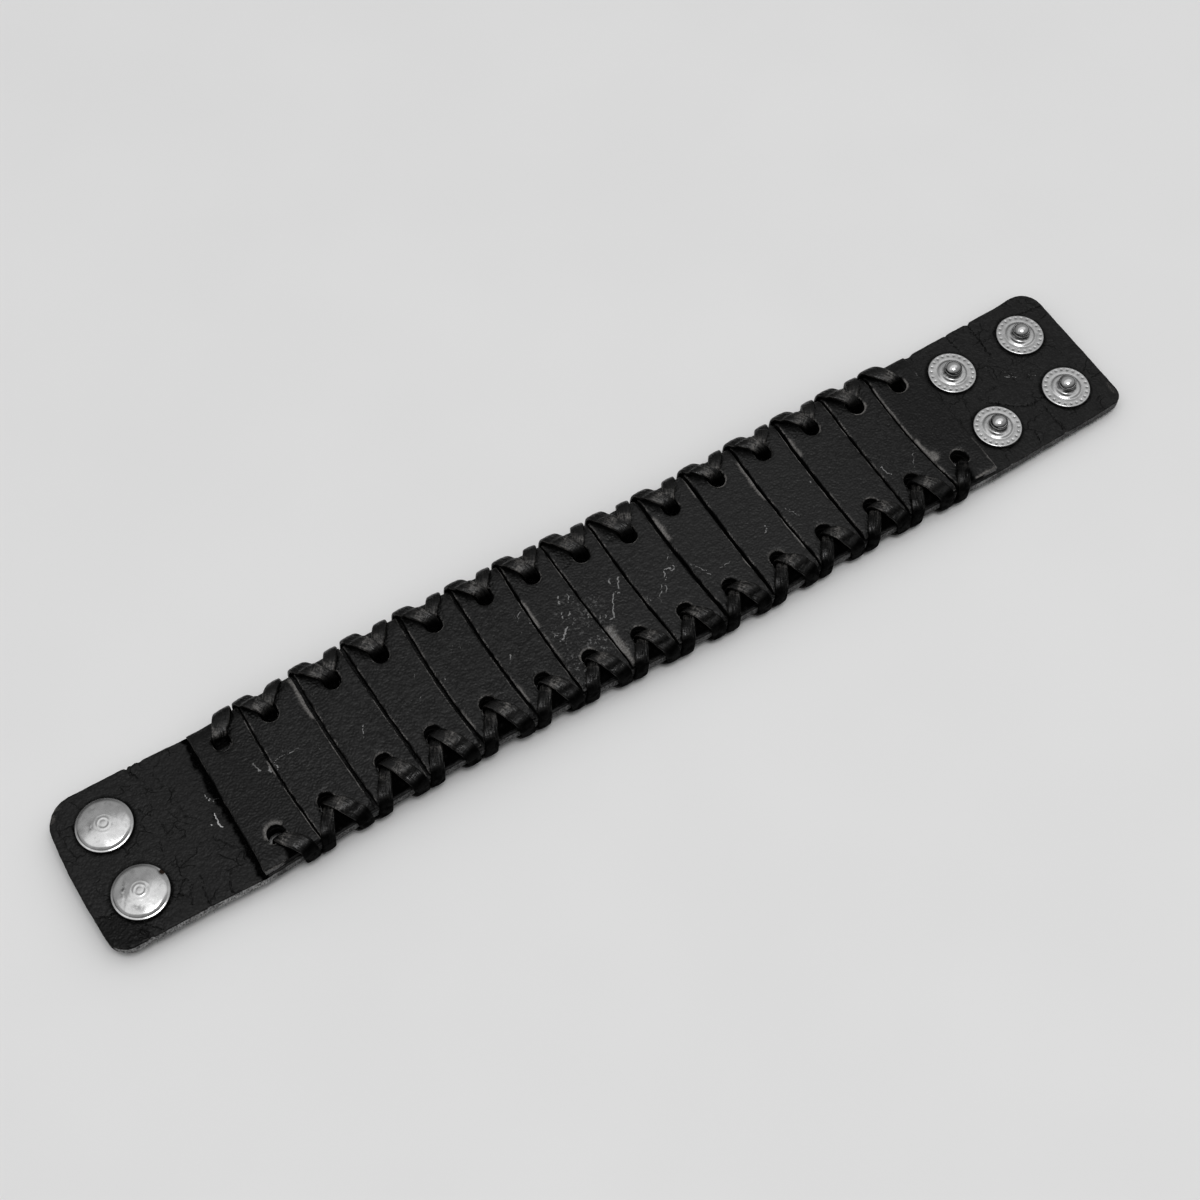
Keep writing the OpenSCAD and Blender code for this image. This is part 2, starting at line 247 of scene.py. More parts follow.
# %% [markdown]
# ## The sizes of the cuff
# These are the same sizes as in the part's source, in millimetres. Each seam row says where a
# seam between two slats crosses the far edge, the middle and the near edge, how wide it gapes, how
# far the strap strays sideways there and how high its underside lies. Each hole row says where the
# slat's two lacing holes lie, and how much further in than usual each one was punched. A pair of
# caps or studs has its place along the strap and its pitch, from one snap's middle to the other's.

# %% Write down the sizes
STRAP = {"length": 252, "width": 36, "thick": 2.8}
SLAT = {"thick": 2.2, "length": 35.2, "low": 2.85}
HOLE = {"across": 3.8, "inset": 6.5}
CAP = {"x": -115.4, "pitch": 16.7, "radius": 6.0}
STUD = {"x": 116.0, "step": 19.9, "pitch": 17.1, "radius": 5.55}
SEAMS = np.array([
    (-92.7, -92.7, -92.7, 0.0, -0.6, 2.40), (-80.5, -80.8, -79.7, 0.4, 0.0, 2.45),
    (-67.7, -67.9, -67.0, 0.8, 0.5, 2.60), (-56.0, -55.6, -54.7, 0.8, 0.8, 2.75),
    (-42.3, -42.9, -41.8, 0.8, 0.8, 2.80), (-29.8, -30.2, -29.1, 0.7, 0.5, 2.75),
    (-18.0, -18.7, -18.2, 0.5, 0.3, 2.60), (-7.5, -7.2, -6.3, 0.4, -0.2, 2.45),
    (4.0, 3.9, 4.9, 0.5, -0.7, 2.30), (16.2, 16.2, 17.3, 0.9, -1.1, 2.20),
    (28.4, 28.3, 28.8, 0.8, -1.1, 2.10), (41.1, 40.7, 41.5, 0.5, -0.6, 2.05),
    (53.2, 52.6, 53.1, 0.7, -0.4, 2.00), (65.7, 65.2, 65.4, 0.5, -0.5, 2.00),
    (77.4, 76.6, 78.1, 0.5, -0.7, 2.00), (88.7, 88.7, 88.7, 0.0, -1.0, 1.80)])
FAR, MID, NEAR, GAPE, STRAY, LIFT = range(6)
HOLES = np.array([
    (-87.1, -87.0, -0.3, 0.0), (-75.8, -75.1, -0.5, 0.2), (-61.3, -61.1, 0.2, 1.2),
    (-49.9, -49.5, 0.4, 1.2), (-36.8, -36.5, -0.1, 1.1), (-24.4, -24.0, -0.4, 0.1),
    (-13.2, -12.7, 0.1, 0.0), (-1.4, -1.0, 0.6, -0.3), (9.9, 10.3, 1.4, -0.2),
    (21.6, 21.8, 0.2, -0.1), (34.1, 34.3, -0.6, -0.1), (46.6, 46.5, -0.5, -0.1),
    (59.4, 59.1, -0.3, -0.2), (71.3, 70.5, 0.1, 0.5), (82.8, 82.9, 0.1, 0.3)])
AT_FAR, AT_NEAR, FAR_IN, NEAR_IN = range(4)
LIE = np.vstack([
    [(-126, 0.3, 2.4), (-104.8, 0, 2.4)], SEAMS[:, [MID, STRAY, LIFT]],
    [(116, -0.3, 1.2), (126, 0.1, 1.0)]])
EDGE = STRAP["width"] / 2
HOLE_Y = EDGE - HOLE["inset"]
TOP = SLAT["low"] + SLAT["thick"]
SNAPS = [(x, side * snap["pitch"] / 2, snap["radius"]) for side in (1, -1) for x, snap in
         ((CAP["x"], CAP), (STUD["x"] - STUD["step"], STUD), (STUD["x"], STUD))]


def stray(x):
    return np.interp(x, LIE[:, 0], LIE[:, 1])


def lift(x):
    return np.interp(x, LIE[:, 0], LIE[:, 2])


def lacing_holes(h):
    """A slat's far and near hole: its place along, its side, and how much further in it lies."""
    return [(h[AT_FAR], 1, h[FAR_IN]), (h[AT_NEAR], -1, h[NEAR_IN])]


print("the laced part is", round(SEAMS[-1, MID] - SEAMS[0, MID], 1), "mm long")

# %% [markdown]
# ## Cutting leather
# Strap and slats are flat pieces cut from a hide. Their outlines and holes are filled with a net
# of triangles by Delaunay's method, because it takes any outline, any holes and extra points where
# a crack or a scratch needs them. The net becomes the grain side and, turned over, the flesh side,
# and rows of points down the cut edge join the two. How deep a point lies inside the border rounds
# the edge over.

# %% Soft steps and smooth noise
def ease(values):
    """Smoothly from 0 to 1."""
    values = np.clip(values, 0, 1)
    return values * values * (3 - 2 * values)


def bell(values, middle, width):
    """1 at the middle, falling to nothing within about two widths."""
    return np.exp(-((values - middle) / width) ** 2)


def waves(points, size, seed=0.0):
    """Smooth noise from -1 to 1, whose waves are about size millimetres long."""
    points = np.asarray(points, float) / size
    if points.shape[1] == 2:
        points = np.c_[points, np.zeros(len(points))]
    return np.array([noise.noise(Vector(p)) for p in points + (0, 0, seed * 1.7)])


print("noise can be sampled anywhere")

# %% Outlines and nets
ROW_STEP = 0.866  # so that three neighbours make an even triangle


def resample(path, step, closed=True):
    path = np.asarray(path, float)
    if closed:
        path = np.vstack([path, path[:1]])
    run = np.r_[0, np.cumsum(np.hypot(*np.diff(path, axis=0).T))]
    count = max(3, round(run[-1] / step)) + (0 if closed else 1)
    at = np.linspace(0, run[-1], count, endpoint=not closed)
    return np.c_[np.interp(at, run, path[:, 0]), np.interp(at, run, path[:, 1])]


def outward(loop):
    """The direction out of the leather along a border that has its leather on the left."""
    along = np.roll(loop, -1, 0) - np.roll(loop, 1, 0)
    along /= np.hypot(*along.T)[:, None]
    return np.c_[along[:, 1], -along[:, 0]]


def inside(points, loops):
    """Whether each point lies inside an odd number of loops."""
    found = np.zeros(len(points), bool)
    for loop in loops:
        for (ax, ay), (bx, by) in zip(loop, np.roll(loop, -1, 0)):
            if ay != by:
                across = (ay > points[:, 1]) != (by > points[:, 1])
                found ^= across & (points[:, 0] < (bx - ax) * (points[:, 1] - ay) / (by - ay) + ax)
    return found


def grid(low, high, step, rng):
    """A net of jittered points in rows, each row shifted by half a step."""
    x = np.arange(low[0], high[0], step)
    rows = enumerate(np.arange(low[1], high[1], step * ROW_STEP))
    points = np.vstack([np.c_[x + (k % 2) * step / 2, np.full(len(x), y)] for k, y in rows])
    return points + rng.uniform(-0.2, 0.2, points.shape) * step


print("outlines can be resampled and filled")

# %% Marks along a line
def trace(lines, step, rng):
    """Points along lines, three abreast, with a mark on the middle one. A line's row gives its
    width, its strength, and x and y of each of its points."""
    points, marks = [], []
    for width, strength, *path in lines:
        path = np.reshape(path, (-1, 2))
        if len(path) == 1:
            path = np.vstack([path, path + (width * 0.7, -width * 0.5)])
        middle = resample(path, step, closed=False)
        middle = middle + rng.normal(0, 0.12, middle.shape)
        along = np.gradient(middle, axis=0)
        along /= np.maximum(np.hypot(*along.T), 1e-9)[:, None]
        across = np.c_[-along[:, 1], along[:, 0]]
        wide = width * rng.uniform(0.9, 1.4, len(middle))[:, None] / 2
        points += [middle, middle + across * wide, middle - across * wide]
        marks += [strength * rng.uniform(0.55, 1.0, len(middle)), np.zeros(2 * len(middle))]
    return np.vstack(points), np.concatenate(marks)


print("lines can be traced")

# %% Join points into triangles
def fill(points, borders):
    """The triangles inside the borders, whose points come first. It also gives each place's
    number among the points."""
    edges, start = [], 0
    for b in borders:
        edges += [(start + k, start + (k + 1) % len(b)) for k in range(len(b))]
        start += len(b)
    verts, _, faces, origin, _, _ = delaunay_2d_cdt(
        [Vector(p) for p in points], edges, [], 0, 1e-5, True)
    flat = np.array([(v.x, v.y) for v in verts])
    first = np.array([o[0] if o else -1 for o in origin])
    faces = np.array(faces)
    on_border = (first[faces] < start).all(1) & (first[faces] >= 0).all(1)
    outside = on_border & ~inside(flat[faces].mean(1), borders)
    faces = faces[~outside]
    a, b, c = (flat[faces[:, k]] for k in range(3))
    turned = np.cross(b - a, c - a) < 0
    faces[turned] = faces[turned][:, ::-1]
    return flat, first, faces


print("points can be joined into triangles")

# %% Fill an outline with a net
CRACK, SCRATCH = 1, 2
LINE_STEP = {CRACK: 0.22, SCRATCH: 0.3}
CLEAR = 0.18  # how far the net's own points stay off all others


def tree_of(points):
    tree = kdtree.KDTree(len(points))
    for k, p in enumerate(points):
        tree.insert((*p, 0), k)
    tree.balance()
    return tree


def distance(tree, points):
    return np.array([tree.find((*p, 0))[2] for p in points])


def cut_piece(outline, holes, rounding, seed, regions, cracks=(), scratches=()):
    """The net of a piece of leather. The outline runs anticlockwise and the holes clockwise.
    Each point has a depth inside the border, a sort of mark and the mark's strength."""
    rng = np.random.default_rng(seed)
    borders = [outline] + holes
    normals = [outward(b) for b in borders]
    depths = rounding * np.array([0, 0.1, 0.3, 0.62, 1.0])
    points = np.vstack([b - n * d for d in depths for b, n in zip(borders, normals)])
    count = sum(len(b) for b in borders)
    rim = tree_of(points[:count])
    extra = []
    for sort, lines in ((CRACK, cracks), (SCRATCH, scratches)):
        if lines:
            p, m = trace(lines, LINE_STEP[sort], rng)
            extra.append((p, np.full(len(p), sort), m))
    depth = np.repeat(depths, count)
    sorts, marks = np.zeros(len(points)), np.zeros(len(points))
    for p, sort, m in extra:
        keep = inside(p, borders)
        p, sort, m = p[keep], sort[keep], m[keep]
        d = distance(rim, p)
        keep = d > rounding * 1.1
        points = np.vstack([points, p[keep]])
        depth, sorts, marks = np.r_[depth, d[keep]], np.r_[sorts, sort[keep]], np.r_[marks, m[keep]]
    taken = tree_of(points)
    for low, high, step in regions:
        p = grid(low, high, step, rng)
        p = p[inside(p, borders)]
        d = distance(rim, p)
        keep = (distance(taken, p) > CLEAR) & (d > rounding * 1.25)
        points, depth = np.vstack([points, p[keep]]), np.r_[depth, d[keep]]
    plain = np.zeros(len(points) - len(sorts))
    sorts, marks = np.r_[sorts, plain], np.r_[marks, plain]
    flat, first, faces = fill(points, borders)
    depth, sorts, marks = (np.where(first >= 0, values[first], other) for values, other in
                           ((depth, rounding), (sorts, 0), (marks, 0)))
    place = {int(o): k for k, o in enumerate(first)}
    return flat, depth, sorts, marks, faces, borders, normals, place


print("a piece of leather can be cut")

# %% [markdown]
# ## From the net to a solid piece
# The net is lifted twice, once for each side of the leather. Rows of points down the cut edge lean
# in and out a little, because a knife never leaves a hide quite smooth. Each point carries marks
# that the finishes read later: how raw, rubbed, scratched or cracked the leather is there, where
# its skin has peeled, and where painted shade, a flat black standing in for shade, takes all its
# gloss.

# %% Make meshes
def mesh_of(name, verts, faces, marks):
    mesh = bpy.data.meshes.new(name)
    mesh.from_pydata((np.asarray(verts) * MM).tolist(), [], faces)
    for key, values in marks.items():
        mark = mesh.attributes.new(key, "FLOAT", "POINT")
        mark.data.foreach_set("value", np.asarray(values, np.float32))
    mesh.polygons.foreach_set("use_smooth", [True] * len(mesh.polygons))
    mesh.update()
    piece = bpy.data.objects.new(name, mesh)
    bpy.context.scene.collection.objects.link(piece)
    return piece


def tube_sides(rings, around):
    """The four-sided faces between rings of points, where each ring has as many points."""
    i = np.arange(around)
    j = (i + 1) % around
    return np.vstack([np.c_[i, j, j + around, i + around] + k * around for k in range(rings - 1)])


def tube_faces(rings, around):
    """The sides and the two flat ends."""
    last = (rings - 1) * around
    ends = [list(range(around))[::-1], list(range(last, last + around))]
    return tube_sides(rings, around).tolist() + ends


print("meshes can be made")

# %% Lift the net
CRACK_DEEP, SCRATCH_DEEP, WEAR_DEEP = 0.28, 0.03, 0.22
RIM_WIDE = 1.6


def rounded(depth, radius):
    """How far the surface drops at a depth inside the border."""
    short = np.clip(radius - depth, 0, radius)
    return radius - np.sqrt(radius ** 2 - short ** 2)


def lift_piece(name, net, top, bottom, rub, painted_shade, rounding, fray, rows, seed, peel=None,
               hairs=None):
    """Lifts a net into a solid with this many rows of faces down its cut edge."""
    flat, depth, sorts, marks, faces, borders, normals, place = net
    n = len(flat)
    crack, scratch = (np.where(sorts == sort, marks, 0) for sort in (CRACK, SCRATCH))
    worn = rub(flat, depth)
    hollow = CRACK_DEEP * crack + SCRATCH_DEEP * scratch + WEAR_DEEP * worn
    z_top = top(flat) - rounded(depth, rounding) - hollow
    z_bottom = bottom(flat) + rounded(depth, rounding * 0.6)
    verts = [np.c_[flat, z_top], np.c_[flat, z_bottom]]
    polygons = faces.tolist() + (faces[:, ::-1] + n).tolist()
    edge_worn = []
    total, start = 2 * n, 0
    for border, normal in zip(borders, normals):
        count = len(border)
        index = np.array([place[start + k] for k in range(count)])
        start += count
        rows_of = [index]
        for r in range(1, rows):
            t = r / rows if r > 1 else 0.4 / rows
            z = z_top[index] * (1 - t) + z_bottom[index] * t
            wall = np.c_[border, z]
            uneven = waves(wall, 1.1, seed) + 0.6 * waves(wall, 0.35, seed + 5)
            out = fray * uneven * math.sin(math.pi * t) ** 0.5
            verts.append(np.c_[border + normal * out[:, None], z])
            rows_of.append(np.arange(total, total + count))
            edge_worn.append(worn[index])
            total += count
        rows_of.append(index + n)
        for upper, lower in zip(rows_of, rows_of[1:]):
            polygons += np.c_[upper, lower, np.roll(lower, -1), np.roll(upper, -1)].tolist()
    if hairs:
        polygons += [[k + total for k in face] for face in hairs[1]]
        verts.append(hairs[0])
        edge_worn.append(np.zeros(len(hairs[0])))
        total += len(hairs[0])
    zeros = np.zeros(total - n)
    return mesh_of(name, np.vstack(verts), polygons, {
        "raw": np.r_[np.clip(0.5 - depth / rounding, 0, 0.5), zeros + 1],
        "crack": np.r_[crack, zeros], "scratch": np.r_[scratch, zeros],
        "rub": np.concatenate([worn, np.zeros(n)] + edge_worn),
        "rim": np.r_[np.clip(1 - depth / RIM_WIDE, 0, 1), zeros],
        "peel": np.r_[peel(flat) if peel else np.zeros(n), zeros],
        "painted_shade": np.r_[painted_shade(flat), zeros]})


print("a net can be lifted into a solid piece")

# %% [markdown]
# ## The strap
# The strap is one thick strip of vegetable tanned leather. It shows at both ends, where its grain
# has dried out and cracked. The cracks are drawn as short lines, and the net gets extra points
# along them, so each one is a real groove. One corner has lost its top skin, a ragged line of
# painted shadow lies beside the first slat, a ring of painted shade lies round each snap, and a few
# fibres stand out of the near edge. A nick's row gives its place, its side, its depth and its width.
# A row for a crack or a fleck, which is a pale scratch, gives the line's width, its strength and its
# points.

# %% The strap's wear
NICKS = [(-106.3, 1, 0.5, 0.3), (-104.9, 1, 0.35, 0.2), (-103.3, 1, 0.3, 0.5), (107.6, 1, 0.5, 0.5),
         (101.3, 1, 0.25, 0.3), (90.4, 1, 0.4, 0.9), (-105.1, -1, 0.25, 0.3), (102.0, -1, 0.3, 0.3),
         (108.7, -1, 0.35, 0.4), (-117.7, -1, 0.3, 0.4), (93.1, -1, 0.3, 0.4)]
CRACKS = [
    (0.5, 0.9, -125.6, -8.1, -122.8, -9.3, -119.6, -9.0), (0.35, 0.6, -118.6, -14.3, -117.8, -18.0),
    (0.35, 0.7, -117.4, -14.5, -115.0, -17.5), (0.4, 0.7, -108.2, 8.3, -106.6, 5.7),
    (0.35, 0.5, -105.6, 4.5, -105.4, -0.7), (0.35, 0.5, -104.4, 14.0, -103.8, 10.5),
    (0.3, 0.4, -100.8, 7.0, -100.6, 2.0, -98.4, -0.5), (0.4, 0.7, -103.8, -11.0, -105.0, -17.3),
    (0.35, 0.5, -110.5, -8.0, -106.3, -10.6), (0.4, 0.5, -98.0, -5.0, -95.5, -9.0),
    (0.4, 0.8, -106.3, 17.2, -105.2, 14.6), (0.55, 1.0, 107.6, 16.9, 107.3, 12.6, 106.9, 7.6),
    (0.4, 0.7, 101.3, 16.6, 101.6, 11.6), (0.5, 0.8, 120.1, 13.2, 125.5, 12.7),
    (0.4, 0.6, 107.6, 2.6, 107.6, -1.4), (0.5, 0.9, 98.1, -2.5, 103.1, -6.9, 106.1, -8.4),
    (0.4, 0.7, 106.1, -8.4, 110.3, -8.2), (0.45, 0.9, 108.8, -10.4, 108.7, -17.4),
    (0.4, 0.8, 102.9, -14.4, 102.1, -17.7), (0.4, 0.7, 93.1, -16.0, 93.1, -17.9),
    (0.35, 0.5, 106.9, 7.6, 104.0, 4.6, 103.4, 1.2), (0.3, 0.4, 113.0, 3.4, 110.0, -1.0),
    (0.3, 0.4, 116.0, -16.4, 117.5, -12.5), (0.3, 0.35, 122.0, 3.0, 118.5, 5.0),
    (0.3, 0.4, 99.0, 5.8, 102.2, 3.0), (0.35, 0.7, -105.9, -11.6, -107.4, -13.7, -107.8, -15.8),
    (0.35, 0.7, -99.4, -15.4, -100.1, -17.8), (0.35, 0.7, -109.5, -12.3, -107.9, -13.4),
    (0.3, 0.5, -107.4, -0.1, -108.2, -3.3)]
FLECKS = [
    (0.3, 0.9, -95.2, 3.7, -94.6, 2.2, -92.8, 1.7), (0.5, 1.0, -95.6, -0.7, -95.6, -4.0),
    (0.5, 0.7, -97.2, -2.6), (0.6, 1.0, -93.4, 13.7), (0.35, 0.6, 105.8, 1.0, 108.6, -0.6),
    (0.3, 0.5, 106.6, 2.2, 108.8, 0.4), (0.3, 0.5, 111.0, -1.6, 112.2, -2.4)]
SCUFFS = [(-124.6, 15.6, 1.8, 1.2, 0.9), (-122.4, 17.0, 1.5, 0.6, 0.6),
          (125.0, -14.0, 0.8, 2.5, 0.5)]
print(len(CRACKS), "cracks and", len(NICKS), "nicks in the strap")

# %% The strap's outline
OUTLINE_STEP, HOLE_STEP = 0.4, 0.3


def arc(x, y, r, start):
    turn = np.radians(start + np.linspace(0, 90, 7))
    return np.c_[x + r * np.cos(turn), y + r * np.sin(turn)]


def strap_outline():
    half = STRAP["length"] / 2
    cap_y, stud_y = stray(-half), stray(half)
    middle = LIE[np.abs(LIE[:, 0]) < half]
    v = np.array([0.5, 0.0, -0.5])
    outline = np.vstack([
        arc(half - 3, stud_y - EDGE + 3, 3, -90), arc(half - 5, stud_y + EDGE - 5, 5, 0),
        np.c_[middle[::-1, 0], middle[::-1, 1] + EDGE],
        arc(-half + 7, cap_y + EDGE - 6.5, 6.5, 90),
        np.c_[-half + 0.5 * v * v, cap_y + v * (EDGE - 6.5)],
        arc(-half + 5, cap_y - EDGE + 4.5, 4.5, 180),
        np.c_[middle[:, 0], middle[:, 1] - EDGE]])
    return resample(outline, OUTLINE_STEP)


def hole_outline(x, side, further_in):
    """A lacing hole, round towards the middle and squared off towards the edge, clockwise."""
    y, r = HOLE_Y - further_in, HOLE["across"] / 2
    turn = np.radians(np.linspace(180, 360, 13))
    loop = np.vstack([np.c_[r * np.cos(turn), r * np.sin(turn)],
                      [(r, 0.8 * r), (0.75 * r, r), (-0.75 * r, r), (-r, 0.8 * r)]])
    loop = resample(loop, HOLE_STEP)[::-1]
    if side < 0:
        loop = loop[::-1] * (1, -1)
    return loop + (x, side * y + stray(x))


print("the strap and its holes can be drawn")

# %% The strap's surface
def strap_top(flat):
    laid_over = ease((95.5 - np.abs(flat[:, 0] + 2)) / 3)
    swell = 0.07 * waves(flat, 9, 1) + 0.025 * waves(flat, 1.6, 2)
    return lift(flat[:, 0]) + STRAP["thick"] + swell * (1 - laid_over) - 0.04 * laid_over


def strap_bottom(flat):
    return lift(flat[:, 0]) + 0.05 + 0.04 * waves(flat, 4, 3)


def strap_rub(flat, depth):
    worn = np.zeros(len(flat))
    for x, y, rx, ry, much in SCUFFS:
        d = np.hypot((flat[:, 0] - x) / rx, (flat[:, 1] - y) / ry)
        worn = np.maximum(worn, much * ease(1.4 - d))
    return worn


def strap_peel(flat):
    """The skin has peeled off one corner."""
    x, y = flat.T
    corner = ease((-116.3 - x + 0.9 * waves(flat, 3, 8)) / 1.2)
    return corner * ease((-9.2 - y + 0.5 * waves(flat, 4, 9) - 0.1 * (x + 125)) / 0.7)


def strap_painted_shade(flat):
    """Painted shadow: a ragged black line on the strap beside slat 1, and a ring of painted shade
    round each snap.
    """
    x, y = flat.T
    ragged = 0.9 * waves(flat, 2.8, 12) + 0.5 * waves(flat, 0.9, 13)
    edge = 94.3 - 0.35 * ease((2 - y) / 6)
    painted_shade = ease((x + edge + ragged) / 0.4) * ease((-92.0 - x) / 0.3)
    for snap_x, snap_y, radius in SNAPS:
        d = np.hypot(x - snap_x, y - stray(snap_x) - snap_y) - radius
        painted_shade = np.maximum(painted_shade, 0.85 * bell(d + 0.3 * waves(flat, 2, 14), 0.1, 0.35))
    return painted_shade


def raw_hairs(count, seed):
    """Loose fibres that stand out of the cut edge on the near side, each a thin tapering stalk."""
    rng = np.random.default_rng(seed)
    verts, faces = [], []
    for k in range(count):
        x = rng.uniform(85.5, 122.5) if k % 4 else rng.uniform(-119, -94)
        root = np.array([x, stray(x) - EDGE + 0.1, lift(x) + rng.uniform(0.2, 2.4)])
        way = np.array([rng.normal(0, 0.6), -1.0, rng.normal(0, 0.5)])
        way = way / np.linalg.norm(way) * rng.uniform(0.25, 0.9)
        curl = rng.normal(0, 0.12, 3)
        a = len(verts)
        for t in (0, 0.35, 0.7, 1):
            middle, wide = root + way * t + curl * t * t, 0.040 - 0.025 * t
            verts += [middle + wide * np.array([math.cos(turn), 0.0, math.sin(turn)])
                      for turn in (0, 2.1, 4.2)]
        faces += (tube_sides(4, 3) + a).tolist() + [[a, a + 1, a + 2], [a + 11, a + 10, a + 9]]
    return np.array(verts), faces


print("the strap's surface can be worn")

# %% Cut the strap
FINE_NET, WIDE_NET = 0.55, 1.6
STRAP_ROUND, SLAT_ROUND = 0.35, 0.32  # how far the edges are rounded over


def make_strap():
    outline = strap_outline()
    out = outward(outline)
    dent = 0.07 * waves(outline, 2.2, 4) + 0.03 * waves(outline, 0.6, 5)
    for x, side, deep, wide in NICKS:
        dent -= deep * bell(outline[:, 0], x, wide) * (outline[:, 1] * side > 12)
    outline = outline + out * dent[:, None]
    holes = [hole_outline(*hole) for h in HOLES for hole in lacing_holes(h)]
    regions = [((-126, -19), (-91, 19), FINE_NET), ((-91, -20), (87, 20), WIDE_NET),
               ((87, -20), (126, 19), FINE_NET)]
    net = cut_piece(outline, holes, STRAP_ROUND, 11, regions, CRACKS, FLECKS)
    return lift_piece("strap", net, strap_top, strap_bottom, strap_rub, strap_painted_shade, STRAP_ROUND,
                      fray=0.14, rows=7, seed=3, peel=strap_peel, hairs=raw_hairs(420, seed=17))


strap = make_strap()
print("the strap has", len(strap.data.polygons), "faces")

# %% [markdown]
# ## The slats
# Each slat is a short piece of thinner, finished leather, glued side by side on the strap. The
# seams bow a little and gape a little. Years of wear rubbed some of the edges down to a pale,
# fibrous bevel, and left scratches in the middle. The lacing pulls the ends of the slats down.
# Each bevel on a slat's side says from where to where it runs across the strap, how wide it is and
# how strong. A rim says the same of a lacing hole in degrees, LEFT for the near hole.

# %% The slats' wear
LEFT, RIGHT = -1, 1
BEVELS = {
    (1, RIGHT): [(8, 14, 0.4, 0.6), (-17.5, -3.5, 0.35, 0.8), (-1, 3, 0.6, 0.8)],
    (2, RIGHT): [(6.3, 17.6, 1.3, 0.85), (-12, 6.3, 0.32, 0.7)], (3, LEFT): [(-12, 4, 0.25, 0.35)],
    (5, LEFT): [(6.5, 10, 0.6, 0.6), (-13.5, -8, 0.7, 0.6)], (6, LEFT): [(-14, -9, 1.0, 0.7)],
    (6, RIGHT): [(9, 14, 0.45, 0.6)], (7, LEFT): [(-0.3, 7.0, 1.0, 0.85), (-9.7, -1.2, 1.0, 0.5)],
    (7, RIGHT): [(7.5, 14, 0.4, 0.7), (-4, -2, 0.8, 0.6)], (8, LEFT): [(-17.6, -7.2, 2.1, 0.9)],
    (8, RIGHT): [(9, 12, 0.4, 0.6)], (9, LEFT): [(-7.5, 0.5, 0.7, 0.4)],
    (9, RIGHT): [(6, 13, 0.35, 0.4)], (10, LEFT): [(3.4, 10.5, 1.3, 0.9), (-14, -8.5, 0.35, 0.5)],
    (10, RIGHT): [(9.3, 14, 0.7, 0.75), (-11, -8, 0.55, 0.85)], (11, LEFT): [(5, 9, 0.6, 0.4)],
    (11, RIGHT): [(1, 12.7, 1.2, 0.8), (-13.5, -5.3, 0.6, 0.85)],
    (12, RIGHT): [(4.5, 14, 0.45, 0.8), (0, 3, 0.5, 0.6), (-6, -1.2, 0.4, 0.8)],
    (13, LEFT): [(6, 11.7, 1.2, 0.75)],
    (13, RIGHT): [(5, 8.5, 0.45, 0.6), (0, 4, 0.4, 0.8), (-5, -2.3, 0.5, 0.5)],
    (14, LEFT): [(-14, 0, 0.3, 0.4)],
    (15, LEFT): [(1.7, 13, 0.6, 0.85), (-3.3, 1.7, 0.4, 0.8), (-8, -3.3, 1.2, 0.9),
                 (-10.4, -7.6, 2.8, 0.95), (-14, -10.4, 0.7, 0.6)],
    (15, RIGHT): [(-17.6, -9, 0.8, 0.5), (-18.5, -14.8, 0.45, 0.95)]}
RIMS = {
    (1, LEFT): (20, 190, 1.1, 0.75), (2, LEFT): (110, 180, 0.35, 0.5),
    (3, LEFT): (60, 180, 0.4, 0.7), (4, LEFT): (60, 170, 0.3, 0.5), (6, LEFT): (60, 180, 0.35, 0.5),
    (7, LEFT): (30, 190, 0.55, 0.8), (8, LEFT): (40, 150, 0.4, 0.5),
    (9, LEFT): (60, 160, 0.3, 0.45), (11, LEFT): (20, 170, 0.7, 0.55),
    (11, RIGHT): (-125, 0, 0.55, 0.9), (12, RIGHT): (-60, 0, 0.3, 0.4),
    (13, LEFT): (60, 170, 0.35, 0.5), (13, RIGHT): (-70, 0, 0.5, 0.75),
    (14, LEFT): (20, 170, 0.35, 0.5), (14, RIGHT): (-135, 0, 0.6, 0.9),
    (15, LEFT): (10, 190, 0.4, 0.55), (15, RIGHT): (-140, 20, 0.5, 0.9)}
